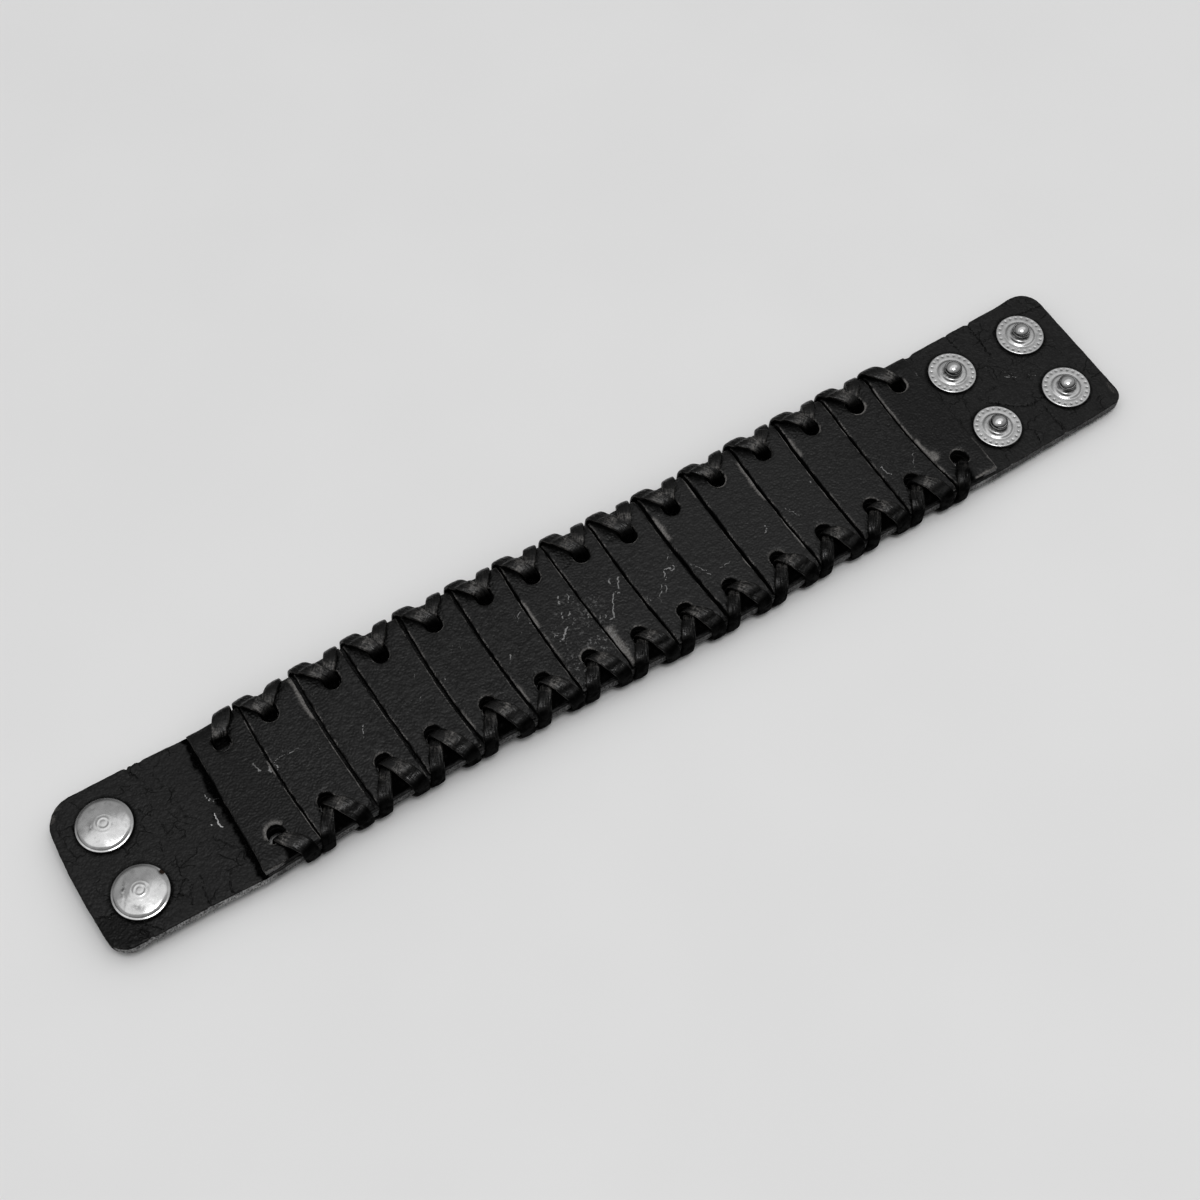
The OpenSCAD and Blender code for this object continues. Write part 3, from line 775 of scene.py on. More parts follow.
SCRATCHES = [
    (2.0, 0.75, -83.8, 3.8, -83.5, 1.5), (0.5, 0.5, -82.6, -1.0, -82.3, -1.4),
    (2.2, 0.9, -81.8, 0.3, -81.2, 1.9), (0.5, 1.0, -80.2, 2.6, -80.2, 0.3),
    (0.4, 0.75, -80.0, 2.0, -77.8, 2.2, -74.6, 2.0), (0.5, 0.6, -77.5, 3.6, -77.4, 3.1),
    (0.35, 0.6, -70.9, -0.3, -70.5, 0.5), (0.35, 0.5, -74.6, -2.7, -74.1, -2.0),
    (0.45, 0.85, -62.2, -3.0, -60.8, -0.5), (0.5, 0.6, -66.6, 11.4, -66.2, 11.3),
    (0.4, 0.5, -53.6, -1.2, -52.8, -2.0), (0.4, 0.6, -48.2, -2.6, -47.8, -1.2),
    (0.5, 0.7, -46.4, 3.6, -46.1, 3.9), (0.6, 0.7, -41.2, 0.0, -41.0, -0.3),
    (0.35, 0.5, -37.8, 3.5, -36.0, 5.7), (0.35, 0.5, -35.0, 4.5, -34.2, 5.7),
    (0.5, 0.9, -27.6, -3.7, -26.8, -2.6), (0.45, 0.7, -21.5, 3.5, -20.3, 5.1),
    (0.5, 0.8, -21.7, 4.5, -21.5, 4.9), (0.4, 0.6, -22.3, 0.7, -21.7, 1.3),
    (0.5, 0.7, -19.5, 2.0, -19.3, 1.6), (0.4, 0.6, -27.3, 6.2, -27.1, 6.1),
    (0.7, 1.0, -11.6, 2.7, -11.0, 4.3), (0.6, 0.9, -9.9, 1.7, -9.1, 3.4),
    (0.6, 0.75, -13.0, -0.8, -12.5, 0.4), (0.8, 0.8, -11.2, -1.0, -10.7, 0.1),
    (0.5, 0.5, -9.5, -0.8, -9.1, -1.1),
    (0.6, 1.0, -16.4, -5.3, -15.5, -5.3, -14.3, -3.9, -13.1, -3.1),
    (0.4, 0.6, -12.0, -3.3, -11.0, -2.2), (0.6, 0.7, -16.8, -3.3, -16.3, -3.8),
    (0.9, 0.8, -8.5, -3.5, -7.7, -2.6), (0.6, 0.8, -6.3, -5.0, -5.9, -4.4),
    (0.7, 0.9, -5.1, -5.5, -4.6, -4.9), (0.5, 0.8, -6.6, -7.4, -6.4, -8.1),
    (0.5, 1.0, -4.4, -6.5, -3.5, -6.2, -2.2, -3.9, -1.2, -2.2, -0.5, -1.2, 0.7, -1.9),
    (0.65, 1.0, 1.1, -0.8, 2.0, 0.7, 2.3, 1.7), (0.6, 0.9, 0.0, 1.3, 0.7, 2.2),
    (0.4, 0.6, 4.9, -5.6, 5.4, -6.8), (0.4, 0.5, 5.9, -5.8, 6.5, -6.6),
    (0.4, 0.6, 6.7, -7.0, 7.3, -8.0), (0.4, 0.9, 7.8, -6.9, 9.2, -4.9),
    (0.4, 0.8, 9.2, -6.7, 10.3, -5.1),
    (0.6, 1.0, 10.7, -4.1, 12.0, -2.0, 12.8, -2.4, 13.4, -3.3, 14.3, -1.8),
    (1.1, 0.9, 13.0, -2.3, 13.5, -2.9), (0.5, 0.8, 13.8, -0.1, 14.7, 0.8),
    (0.2, 0.5, 12.2, 10.7, 15.4, 11.3), (0.35, 0.6, 17.4, 9.7, 19.6, 9.9),
    (0.4, 0.8, 17.4, -3.9, 18.4, -5.5, 19.7, -8.3), (0.4, 0.7, 21.9, -7.9, 23.0, -8.1, 24.7, -7.7),
    (0.35, 0.5, 26.2, -3.6, 26.9, -2.3), (0.4, 0.5, 26.7, -6.5, 27.4, -5.7),
    (0.9, 0.4, 25.9, -0.4, 27.2, 0.4), (0.5, 0.8, 35.4, -5.8, 36.2, -4.9, 36.4, -4.1),
    (1.3, 0.4, 37.7, -1.2, 38.8, 0.6), (0.4, 0.7, 42.5, -3.1, 43.3, -4.1, 44.1, -6.1),
    (0.4, 0.5, 46.7, -6.2, 48.7, -5.9), (0.6, 1.0, 51.1, -0.2, 51.3, -0.4),
    (0.4, 0.5, 44.1, 5.6, 44.5, 5.5), (0.6, 0.5, 58.7, -5.0, 58.9, -5.5),
    (0.4, 0.4, 56.1, -3.4, 56.3, -4.0), (0.45, 1.0, 66.4, -5.2, 66.8, -7.0, 67.5, -8.3),
    (0.6, 0.5, 68.4, -5.1, 68.6, -5.6), (0.6, 0.6, 73.1, -8.8, 74.0, -7.3, 75.1, -5.4),
    (0.6, 0.6, 81.2, -3.9, 81.6, -4.3), (0.5, 0.6, 87.9, 11.4, 88.1, 10.6)]
FOLDS = [
    (0.3, 0.7, -6.9, 9.5, -3.5, 10.2), (0.25, 0.4, 5.6, 10.4, 6.9, 10.9)]
print(sum(map(len, BEVELS.values())), "bevels,", len(RIMS), "rims,", len(SCRATCHES), "scratches")

# %% The slats' sides
def seam_x(k, v):
    """Where seam k crosses the strap, from v = -1 at the near edge to v = 1 at the far edge."""
    s = SEAMS[k]
    return s[MID] + v * (s[FAR] - s[NEAR]) / 2 + v * v * ((s[FAR] + s[NEAR]) / 2 - s[MID])


def slat_edge(k, v, away):
    """The edge of the slat on the left (away = -1) or on the right (away = 1) of seam k."""
    return seam_x(k, v) + away * SEAMS[k, GAPE] / 2


def slat_side(k, away):
    v = np.linspace(-1, 1, 15)
    return np.c_[slat_edge(k, v, away), v * SLAT["length"] / 2 + SEAMS[k, STRAY]]


def slat_outline(i):
    outline = resample(np.vstack([slat_side(i, LEFT), slat_side(i - 1, RIGHT)[::-1]]), OUTLINE_STEP)
    rough = np.where(outline[:, 0] < -91, 2.0, 1.0)
    wavy = 0.11 * waves(outline, 2.5, i) + 0.045 * waves(outline, 0.7, i)
    return outline + outward(outline) * (rough * wavy)[:, None]


print("a slat's outline can be drawn")

# %% Cut the slats
def make_slat(i):
    outline = slat_outline(i)
    first_x, last_x = outline[:, 0].min(), outline[:, 0].max()
    holes = lacing_holes(HOLES[i - 1])
    sunk = [(x, side, HOLE_Y - further_in) for x, side, further_in in holes]
    far_hole, near_hole = sunk
    lean = 0.12 * math.sin(i * 2.3)
    is_end = i in (1, len(HOLES))
    laced = 0.2 if is_end else 1.0

    def top(flat):
        x, y = flat[:, 0], flat[:, 1] - stray(flat[:, 0])
        z = lift(x) + TOP - 0.03 + 0.05 * waves(flat, 7, 10 + i) + 0.012 * waves(flat, 1.3, 40 + i)
        z = z - np.where(y > 0, 0.75, 0.25 * laced) * ease((np.abs(y) - 14.4) / 3.8)
        z = z - np.where(y > 0, 0.3, 0.9 * laced) * ease((np.abs(y) - 16.2) / 1.9)
        for hx, side, hy in sunk:
            press = ease(1.3 - np.abs(x - hx) / 3.6) * ease((side * y - hy) / 2.2)
            rim = ease(1.6 - np.hypot(x - hx, side * y - hy) / 2.0)
            z = z - 0.22 * press - 0.10 * rim
        return z + lean * 0.35 * (x - far_hole[0]) / 6

    def bottom(flat):
        return lift(flat[:, 0]) + SLAT["low"] + 0.02

    def rub(flat, depth):
        x, y = flat.T
        worn = 0.45 * ease(1 - depth / 0.5) * ease(0.4 + 1.5 * waves(flat, 5, 60 + i))
        ends = ease((np.abs(y) - 14.8) / 1.8) * ease(1.2 - depth / 1.0)
        worn = np.maximum(worn, 0.35 * ends * ease(0.3 + 1.6 * waves(flat, 1.5, 90 + i)))
        if is_end:
            wide = 0.2 if i == 1 else 0.7 * (1 + 0.5 * waves(flat, 1.5, 95))
            worn = np.maximum(worn, 0.8 * ease(1.3 - (y - y.min()) / wide))
        v = np.clip((y - stray(x)) / (SLAT["length"] / 2), -1, 1)
        for side, seam, (hx, _, hy) in ((LEFT, i - 1, near_hole), (RIGHT, i, far_hole)):
            away = side * (slat_edge(seam, v, -side) - x)
            for low, high, wide, much in BEVELS.get((i, side), ()):
                span = ease((y - low) / 1.5 + 0.5) * ease((high - y) / 1.5 + 0.5)
                ragged = wide * (1 + 0.45 * waves(flat, 2.0, 70 + i))
                worn = np.maximum(worn, much * span * ease(1.25 - away / ragged))
            if (i, side) in RIMS:
                start, end, wide, much = RIMS[i, side]
                px, py = x - hx, y - stray(x) - side * hy
                turn = np.degrees(np.arctan2(py, px))
                turn = np.where(turn < start - 25, turn + 360, turn)
                span = ease((turn - start) / 25 + 0.5) * ease((end - turn) / 25 + 0.5)
                span = span * (np.hypot(px, py) < 4)
                ragged = wide * (1 + 0.4 * waves(flat, 1.2, 80 + i))
                worn = np.maximum(worn, much * span * ease(1.3 - depth / ragged))
        return worn

    def painted_shade(flat):
        """Painted shade: black below the near hole, between the two strands, where they shade the
        slat.
        """
        hx, _, hy = near_hole
        x, y = flat[:, 0] - hx, stray(flat[:, 0]) - flat[:, 1] - hy
        t = np.clip(y / (EDGE - hy), 0, 1)
        x = x + 0.5 * waves(flat, 2.0, 100 + i)
        left = 3.6 * t if i > 1 else 0.3
        right = 4.4 * t if i < len(HOLES) else 0 * t
        return ease((x + left) / 0.8 + 0.5) * ease((right - x) / 0.8 + 0.5) * ease((y - 1.5) / 0.8)

    folds, scratches = ([row for row in lines if first_x < row[2] < last_x]
                        for lines in (FOLDS, SCRATCHES))
    net = cut_piece(outline, [hole_outline(*hole) for hole in holes], SLAT_ROUND, 20 + i,
                    [(outline.min(0), outline.max(0), FINE_NET)], folds, scratches)
    return lift_piece(f"slat_piece_{i:02d}", net, top, bottom, rub, painted_shade, SLAT_ROUND,
                      fray=0.05, rows=5, seed=i)


slats = [make_slat(i) for i in range(1, len(HOLES) + 1)]
print(len(slats), "slats,", sum(len(s.data.polygons) for s in slats), "faces")

# %% [markdown]
# ## The lacing
# Each lace is one flat strip that goes round the edge like a coil spring. It comes up round the
# edge, lies over the slat, dives into the hole, runs under the strap and comes up again. It passes
# twice through each hole, so a narrow strand lies under a wide one that leans the other way. A flat
# strip can't stretch, so it is drawn flat first, as a ribbon in the plane of the way it goes, and
# then bent round the leather's profile.

# %% The lace's turns
LACE = {"across": 3.8, "thick": 0.9, "air": 0.1}
WIDE_LEAN, NARROW_LEAN = 0.35, 0.295
HUG = LACE["air"] + LACE["thick"] / 2
LAYER = LACE["air"] + LACE["thick"]


def lace_turns(holes):
    """Rows of hole, place on the edge, the hole's outer wall, and layers above and below."""
    x = [h[0] for h in holes]
    wall = [HOLE_Y + HOLE["across"] / 2 - h[1] for h in holes]
    wide = [x[n] - WIDE_LEAN * (x[n] - x[n + 1]) for n in range(len(x) - 1)]
    narrow = [None] + [x[n] + NARROW_LEAN * (x[n - 1] - x[n]) for n in range(1, len(x))]
    turns = [(x[0], wide[0], wall[0], 0, 1, True)]
    for n in range(1, len(x) - 1):
        turns += [(x[n], narrow[n], wall[n], 0, 0, False), (x[n], wide[n], wall[n], 1, 1, True)]
    return turns + [(x[-1], narrow[-1], wall[-1], 0, 0, False)]


print("a lace has", 2 * len(HOLES) - 2, "turns")

# %% The lace's way
UNDER_WIDE = 3.2


def lace_path(turns, full_end):
    """Rows of the place along the strap, across it, the height, and the strip's width."""
    rows = [(turns[0][1], EDGE - 3.4, -HUG, 3.0), (turns[0][1], EDGE, -HUG, 3.1)]
    for k, (h, e, wall, above, below, is_wide) in enumerate(turns):
        after = turns[k + 1][1] if k + 1 < len(turns) else h - 4
        over, under = HUG + above * LAYER, HUG + below * LAYER
        top_w, drop = (3.5, 0) if is_wide else (3.0, 0.3)
        if full_end and k + 1 == len(turns):
            top_w, drop = LACE["across"], 0

        def between(start, y, r):
            return start + (h - start) * min(1, max(0, (EDGE - y) / (EDGE - wall + r)))

        def bend(x_of, y, z, r, turns_of, w):
            for a in np.radians(turns_of):
                yy = y + r * math.cos(a)
                rows.append((x_of(yy), yy, z + r * math.sin(a), w))

        slant = math.copysign(1, h - e)
        bend(lambda y: e - 0.35 * slant, EDGE, 0, HUG, (315, 360), UNDER_WIDE)
        bend(lambda y: e + 0.4 * (EDGE + 0.55 - y) * slant,
             EDGE - 1.6 - drop, TOP - 1.5 - drop, HUG + 1.6, (0, 30, 60), top_w)
        mid = (EDGE + wall) / 2
        rows.append((between(e, EDGE - 1.9, over), EDGE - 1.9, TOP + HUG + 0.15 - drop, top_w))
        rows.append((between(e, mid, over), mid, TOP + over + 0.15, top_w))
        bend(lambda y: between(e, y, over), wall, TOP, over, (90, 135, 180), top_w - 0.7)
        bend(lambda y: between(after, y, under), wall, 0, under, (180, 225, 270), UNDER_WIDE)
        rows.append((between(after, EDGE - 0.8, under), EDGE - 0.8, -under, 3.3))
    return np.array(rows[:-1])


def smoothed(values, reach):
    kernel = np.exp(-0.5 * (np.arange(-3 * reach, 3 * reach + 1) / reach) ** 2)
    padded = np.pad(values, 3 * reach, "edge")
    return np.convolve(padded, kernel / kernel.sum(), "valid")


print("a lace's way can be followed")

# %% Bend the ribbon round the leather
PATH_STEP = 0.1  # between two points of the smoothed path
RING_EVERY = 3  # points of the path to a ring of the mesh
AROUND = 18


def lace_section():
    """The strip's soft section: across it from -1 to 1, its rise, and what lies on top."""
    turn = np.linspace(0, 2 * math.pi, AROUND, endpoint=False) + math.pi / AROUND
    c, d = np.cos(turn), np.sin(turn)
    across = np.sign(c) * np.abs(c) ** 0.28
    rise = np.sign(d) * np.abs(d) ** 0.5 * LACE["thick"] * 0.46
    return across, rise + np.where(d > 0, 0.12 * (1 - across ** 2), 0.0), d > 0


def make_lace(name, holes, side, seed):
    path = lace_path(lace_turns(holes), side > 0)
    run = np.r_[0, np.cumsum(np.linalg.norm(np.diff(path[:, :3], axis=0), axis=1))]
    fine = np.arange(0, run[-1], PATH_STEP)
    x, y, z, w = (smoothed(np.interp(fine, run, path[:, k]), 5 if k else 9) for k in range(4))
    s = np.r_[0, np.cumsum(np.hypot(np.diff(y), np.diff(z)))]
    way = s + 1e-9 * fine
    ty, tz = np.gradient(y, way), np.gradient(z, way)
    size = np.hypot(ty, tz)
    ty, tz = ty / size, tz / size
    slant = smoothed(np.gradient(x, way), 4)
    rings = np.arange(2, len(fine) - 2, RING_EVERY)
    w = w * (1 + 0.05 * waves(fine[:, None] * [1, 0], 9, seed))
    x = x + 0.12 * waves(fine[:, None] * [1, 0], 7, seed + 1)
    across, rise, on_top = lace_section()
    verts = []
    for k in rings:
        norm = math.hypot(1, slant[k])
        u = across * w[k] / 2
        at = s[k] - u * slant[k] / norm
        ny, nz = np.interp(at, s, tz), -np.interp(at, s, ty)
        px = side * (x[k] + u / norm)
        py = side * (np.interp(at, s, y) + rise * ny)
        pz = np.interp(at, s, z) + rise * nz
        verts.append(np.c_[px, py + stray(px), pz + lift(px)])

    def round_rings(values):
        return np.repeat(values[rings], AROUND)

    over, on_top = np.tile(across * on_top, len(rings)), np.tile(on_top, len(rings))
    # The bend mark lies on top, just before the strip dives into a hole: partly rubbing, partly a
    # painted highlight.
    bend = bell(y, HOLE_Y + 2.5, 0.9) * (z > TOP)
    # The near lace is painted black as painted shade: down the cut edge, at its last turn, and on
    # its steep strands, apart from a gleam along one of their sides.
    wall = ease((y - (EDGE - 0.75)) / 0.75) * ease((z + 0.5) / 0.5) * (side < 0)
    last = ease((side * x - 80.5) / 0.5) * (side < 0) * 0.85
    steep = ease(-slant / 0.15) * ease((z - TOP) / 0.4) * (side < 0) * 0.65
    dull = round_rings(steep) * (1 - bell(over, -0.6, 0.25))
    return mesh_of(name, np.vstack(verts), tube_faces(len(rings), AROUND), {
        "along": round_rings(fine), "across": over, "bend": round_rings(bend) * on_top,
        "painted_shade": np.maximum(round_rings(np.maximum(wall, last)), dull)})


lace_far = make_lace("lace_strip_far", [(h[AT_FAR], h[FAR_IN]) for h in HOLES[::-1]], 1, 90)
lace_near = make_lace("lace_strip_near", [(-h[AT_NEAR], h[NEAR_IN]) for h in HOLES], -1, 95)
print("the laces have", len(lace_far.data.polygons) + len(lace_near.data.polygons), "faces")

# %% [markdown]
# ## The snaps
# A snap's visible halves are thin pressed metal: a domed cap with a rolled rim and a ring pressed
# into its middle, and a stud, which is a flat flange with a ring of tiny dimples, a neck and a
# round head. Both are turned shapes, so a profile is spun round an axis, and the dimples are
# pushed in afterwards.

# %% Spin a profile
SNAP_Z = STRAP["thick"] + 0.06


def around(r, a):
    return np.c_[r * np.cos(a), r * np.sin(a)]


def slope(x):
    return math.atan((lift(x - 1) - lift(x + 1)) / 2)


def spin(name, profile, segments, x, y, shape, marks):
    """Spins (radius, height) points round an axis that stands on the strap at x, y."""
    profile = np.array(profile)
    angle = np.arange(segments) * 2 * math.pi / segments
    r, h = np.repeat(profile[:, 0], segments), np.repeat(profile[:, 1], segments)
    a = np.tile(angle, len(profile))
    h = h + shape(r, a)
    tilt = slope(x)
    px, py = around(r, a).T
    verts = np.c_[x + px * math.cos(tilt) + h * math.sin(tilt), y + stray(x) + py,
                  lift(x) - px * math.sin(tilt) + h * math.cos(tilt)]
    return mesh_of(name, verts, tube_faces(len(profile), segments),
                   {key: mark(r, a, h) for key, mark in marks.items()})


print("profiles can be spun")

# %% Press the caps
RIM_R = 5.56  # where the dome meets the rolled rim
# The caps' dents and their painted dark reflections both lie along the camera's right and up.
VIEW_AXES = np.array([[0.845, 0.53], [-0.53, 0.845]])  # the way that the caps' dents lie


def cap_profile():
    rim = [(5.7 + 0.3 * math.cos(a), SNAP_Z + 0.33 + 0.3 * math.sin(a))
           for a in np.radians(range(-90, 61, 15))]
    dome = [(r, SNAP_Z + 1.6 - 0.8 * (r / 5.6) ** 2) for r in np.linspace(5.55, 0.02, 80)]
    return [(0.02, SNAP_Z), (3.0, SNAP_Z)] + rim + dome


def cap_shape(seed, nick):
    def shape(r, a):
        place = around(r, a)
        x, y = place.T
        u, v = (place @ VIEW_AXES).T
        uneven = 0.9 * (1 + 0.8 * waves(place, 1.3, seed + 3))
        ring = 0.045 * bell(r, 1.2, 0.20) - 0.03 * bell(r, 0.75, 0.25) + 0.025 * bell(r, 2.0, 0.25)
        boss = -(0.2 + 0.3 * ease(-v / 3)) * np.maximum(0, r - 4.8) ** 2
        dents = 0.030 * waves(place, 2.2, seed) * ease((5.6 - r) / 2)
        dents = dents - nick * 0.05 * bell(u, -2.8, 0.45) * bell(v, -0.8, 1.7)
        bite = nick * bell(x, 5.3, 0.5) * bell(y, 1.7, 0.8)
        return np.where(r < RIM_R, uneven * ring + boss + dents, 0) - 0.25 * bite * (r > 4)
    return shape


def nick_mark(nick):
    """The chip of lost plating on the rim."""
    def mark(r, a, h):
        x, y = around(r, a).T
        return nick * ease(1.7 - np.hypot((x - 5.5) / 0.42, (y - 1.6) / 0.5))
    return mark


def dark_reflection_mark(nick):
    """Painted dark reflections: dark smudges on the cap, lying along the camera's right and up."""
    spots = ((-3.3, 0.0, 0.45, 1.9, nick), (-2.4, -0.9, 0.6, 0.9, 1 - nick),
             (0.4, -3.6, 1.8, 0.6, 0.6 * nick))

    def mark(r, a, h):
        u, v = (around(r, a) @ VIEW_AXES).T
        return sum(much * bell(u, x, wide) * bell(v, y, high) for x, y, wide, high, much in spots)
    return mark


caps = {}
for place, side, nick in (("far", 1, 0.0), ("near", -1, 1.0)):
    caps[place] = spin(
        f"cap_{place}", cap_profile(), 128, CAP["x"], side * CAP["pitch"] / 2,
        cap_shape(30 + side, nick), {"rust": nick_mark(nick), "tarnish_and_dark_reflection": dark_reflection_mark(nick)})
print("two caps pressed")

# %% Press the studs
DIMPLES = 22
NECK_TOP = SNAP_Z + 1.45


def stud_profile():
    flange = [(0.02, 0.0), (5.35, 0.0), (5.5, 0.05), (5.55, 0.2), (5.5, 0.36), (5.4, 0.43)]
    flange += [(r, 0.47) for r in np.linspace(5.3, 4.1, 16)]
    flange += [(3.9, 0.465), (3.7, 0.45), (3.5, 0.44), (3.35, 0.48), (3.2, 0.58), (3.05, 0.66),
               (2.8, 0.69), (2.5, 0.68), (2.25, 0.7), (2.05, 0.78), (1.85, 0.95), (1.66, 1.2),
               (1.55, 1.45)]
    head = [(2.0 * math.cos(a), 2.1 + 1.4 * math.sin(a))
            for a in np.radians(np.linspace(-38, 89.4, 22))]
    return [(r, SNAP_Z + h) for r, h in flange + head]


def dimple(r, a):
    return np.maximum(0, np.cos(DIMPLES * a)) ** 2 * bell(r, 4.72, 0.26)


def stud_tarnish_and_dark_reflection(r, a, h):
    """Dirt sits in the dimples and in the flange's groove; round the neck, a painted dark reflection
    darkens the crevice under the head.
    """
    neck = bell(r, 1.85, 0.4) * (h < SNAP_Z + 1.5)
    return np.maximum(neck, np.maximum(dimple(r, a) * 0.9, 0.1 * bell(r, 3.45, 0.15)))


def stud_polish(r, a, h):
    """The head is rubbed bright by its socket."""
    return 1.0 * (h > NECK_TOP)


def stud_shape(seed):
    def shape(r, a):
        uneven = 0.02 * waves(around(r, a), 2.2, seed)
        return uneven * ease((5.4 - r) / 0.5) * ease((r - 2) / 0.5) - 0.13 * dimple(r, a)
    return shape


studs = {}
for which, x in (("inner", STUD["x"] - STUD["step"]), ("outer", STUD["x"])):
    for place, side in (("far", 1), ("near", -1)):
        studs[f"{which}_{place}"] = spin(
            f"stud_{which}_{place}_metal", stud_profile(), 176, x, side * STUD["pitch"] / 2,
            stud_shape(x + side), {"tarnish_and_dark_reflection": stud_tarnish_and_dark_reflection, "polish": stud_polish})
print(len(studs), "studs pressed")

# %% [markdown]
# ## The finishes
# Black leather is never one black. The grain is a net of tiny pebbles, the dye is thinner on the
# high spots, and where the skin is cut or rubbed through, grey fibres show. The marks that were
# painted on the meshes say where, and noise breaks them up so that no border is clean. Greys are
# given as linear light, places along and across the strap in metres.

# %% The slats' leather
def grain_of(leather, size):
    """Smooth, wrinkled grain: small lumps on wider lumps."""
    small = leather.noise(size, detail=0, distortion=0.2)
    return small + leather.noise(size * 2.4, detail=0) * 0.8


def slat_finish():
    leather = Finish("slat_black")
    grain = grain_of(leather, 0.50)
    cloud, patch, fibre = leather.noise(6), leather.noise(1.2), leather.noise(0.35, roughness=0.6)
    raw, rub, rim, scratch = leather.marks("raw", "rub", "rim", "scratch")
    crack, painted_shade = leather.marks("crack", "painted_shade")
    along, aside = leather.axis("X"), leather.axis("Y")

    # Painted sheen: the middle of the cuff is painted lighter, and both ends darker.
    painted_sheen_middle = along.step(-0.030, 0.020) * along.fall(0.045, 0.075)
    painted_dim_ends = along.fall(-0.083, -0.078).most(along.step(0.072, 0.080))
    base = leather.coats(
        grey(0.007), (grain.step(0.75, 1.15), grey(0.020)),
        (cloud.step(0.35, 0.7) * 0.35, grey(0.020)),
        (painted_sheen_middle * 0.4, grey(0.028)), (painted_dim_ends * 0.6, grey(0.004)))

    # The skin is rubbed through, worn along its rims, scratched, specked, and dusty near the
    # middle.
    rubbed = (rub * 1.35 + fibre * 0.8 + patch * 0.4 - 0.85).step(0.05, 0.5)
    seams = along.step(-0.0915, -0.0905) * along.fall(0.0870, 0.0880)
    edge = rim.step(0.70, 0.95) * fibre.step(0.3, 0.6) * leather.noise(3, detail=1).step(0.40, 0.60)
    edge = edge * seams * 0.9
    scored = (scratch * 2.0 + fibre * 1.1 - 0.95).step(0.05, 0.8)
    speck = leather.noise(0.5, detail=2).step(0.70, 0.76)
    speck = speck * leather.noise(7, detail=1).step(0.5, 0.7)
    dusty = along.step(-0.024, -0.016) * along.fall(-0.006, -0.001) * aside.fall(0.002, 0.006)
    dusty = dusty * leather.noise(0.6).step(0.54, 0.64) * leather.noise(5).step(0.35, 0.6)
    worn = rubbed.most(edge).most(scored).most(speck * 0.3).most(dusty * 0.55)
    tuft = fibre.step(0.3, 0.7)
    bald = leather.mix(tuft, grey(0.10, 0.03), grey(0.22, 0.03))
    pale = leather.coats(
        grey(0.035, 0.03), (tuft, grey(0.10, 0.03)), (rub.step(0.45, 0.8), bald),
        (edge, grey(0.24, 0.03)), (scored.most(dusty), grey(0.25)))

    # The cut edge is dyed black, but bare at the outer corners of the near edge.
    near_end = aside.fall(-0.0172, -0.0166)
    bare = near_end * (1 - seams.least(along.fall(0.0850, 0.0856)))
    bare = bare.most(near_end * along.fall(-0.0890, -0.0880))
    cut = leather.coats(grey(0.001), (fibre.step(0.4, 0.8), grey(0.012)),
                        (bare * fibre.step(0.3, 0.6), grey(0.25)))
    colour = leather.coats(base, (worn, pale), (crack.step(0.1, 0.4) * 0.8, grey(0.001)),
                           (raw.step(0.45, 0.95), cut))
    # The painted shade mark lays a flat black below each near hole, between the strands.
    return leather.finish(
        colour, rough=cloud.step(0.3, 0.7, 0.38, 0.46) + worn * 0.35 + raw * 0.3,
        height=grain * 0.145 + fibre * worn * 0.06, painted_shade=painted_shade * patch.step(0.2, 0.5, 0.75, 1.0),
        Specular_IOR_Level=0.42)


slat_black = slat_finish()
print("the slats' leather is ready")

# %% The strap's leather
def hair_cracks(leather):
    """A wandering web of hair-thin cracks, which comes and goes."""
    swirl = leather.add("ShaderNodeTexNoise", None, {
        "Vector": leather.place, "Scale": 300.0, "Detail": 3.0}, out="Color")
    warped = leather.add("ShaderNodeVectorMath", {"operation": "MULTIPLY_ADD"}, {
        0: swirl, 1: (0.004, 0.004, 0.004), 2: leather.place})
    web = leather.add("ShaderNodeTexVoronoi", {"feature": "DISTANCE_TO_EDGE"}, {
        "Vector": warped, "Scale": 240.0, "Randomness": 1.0})
    return (1 - web.step(0.0, 0.045)) * leather.noise(5, detail=2).step(0.46, 0.60)


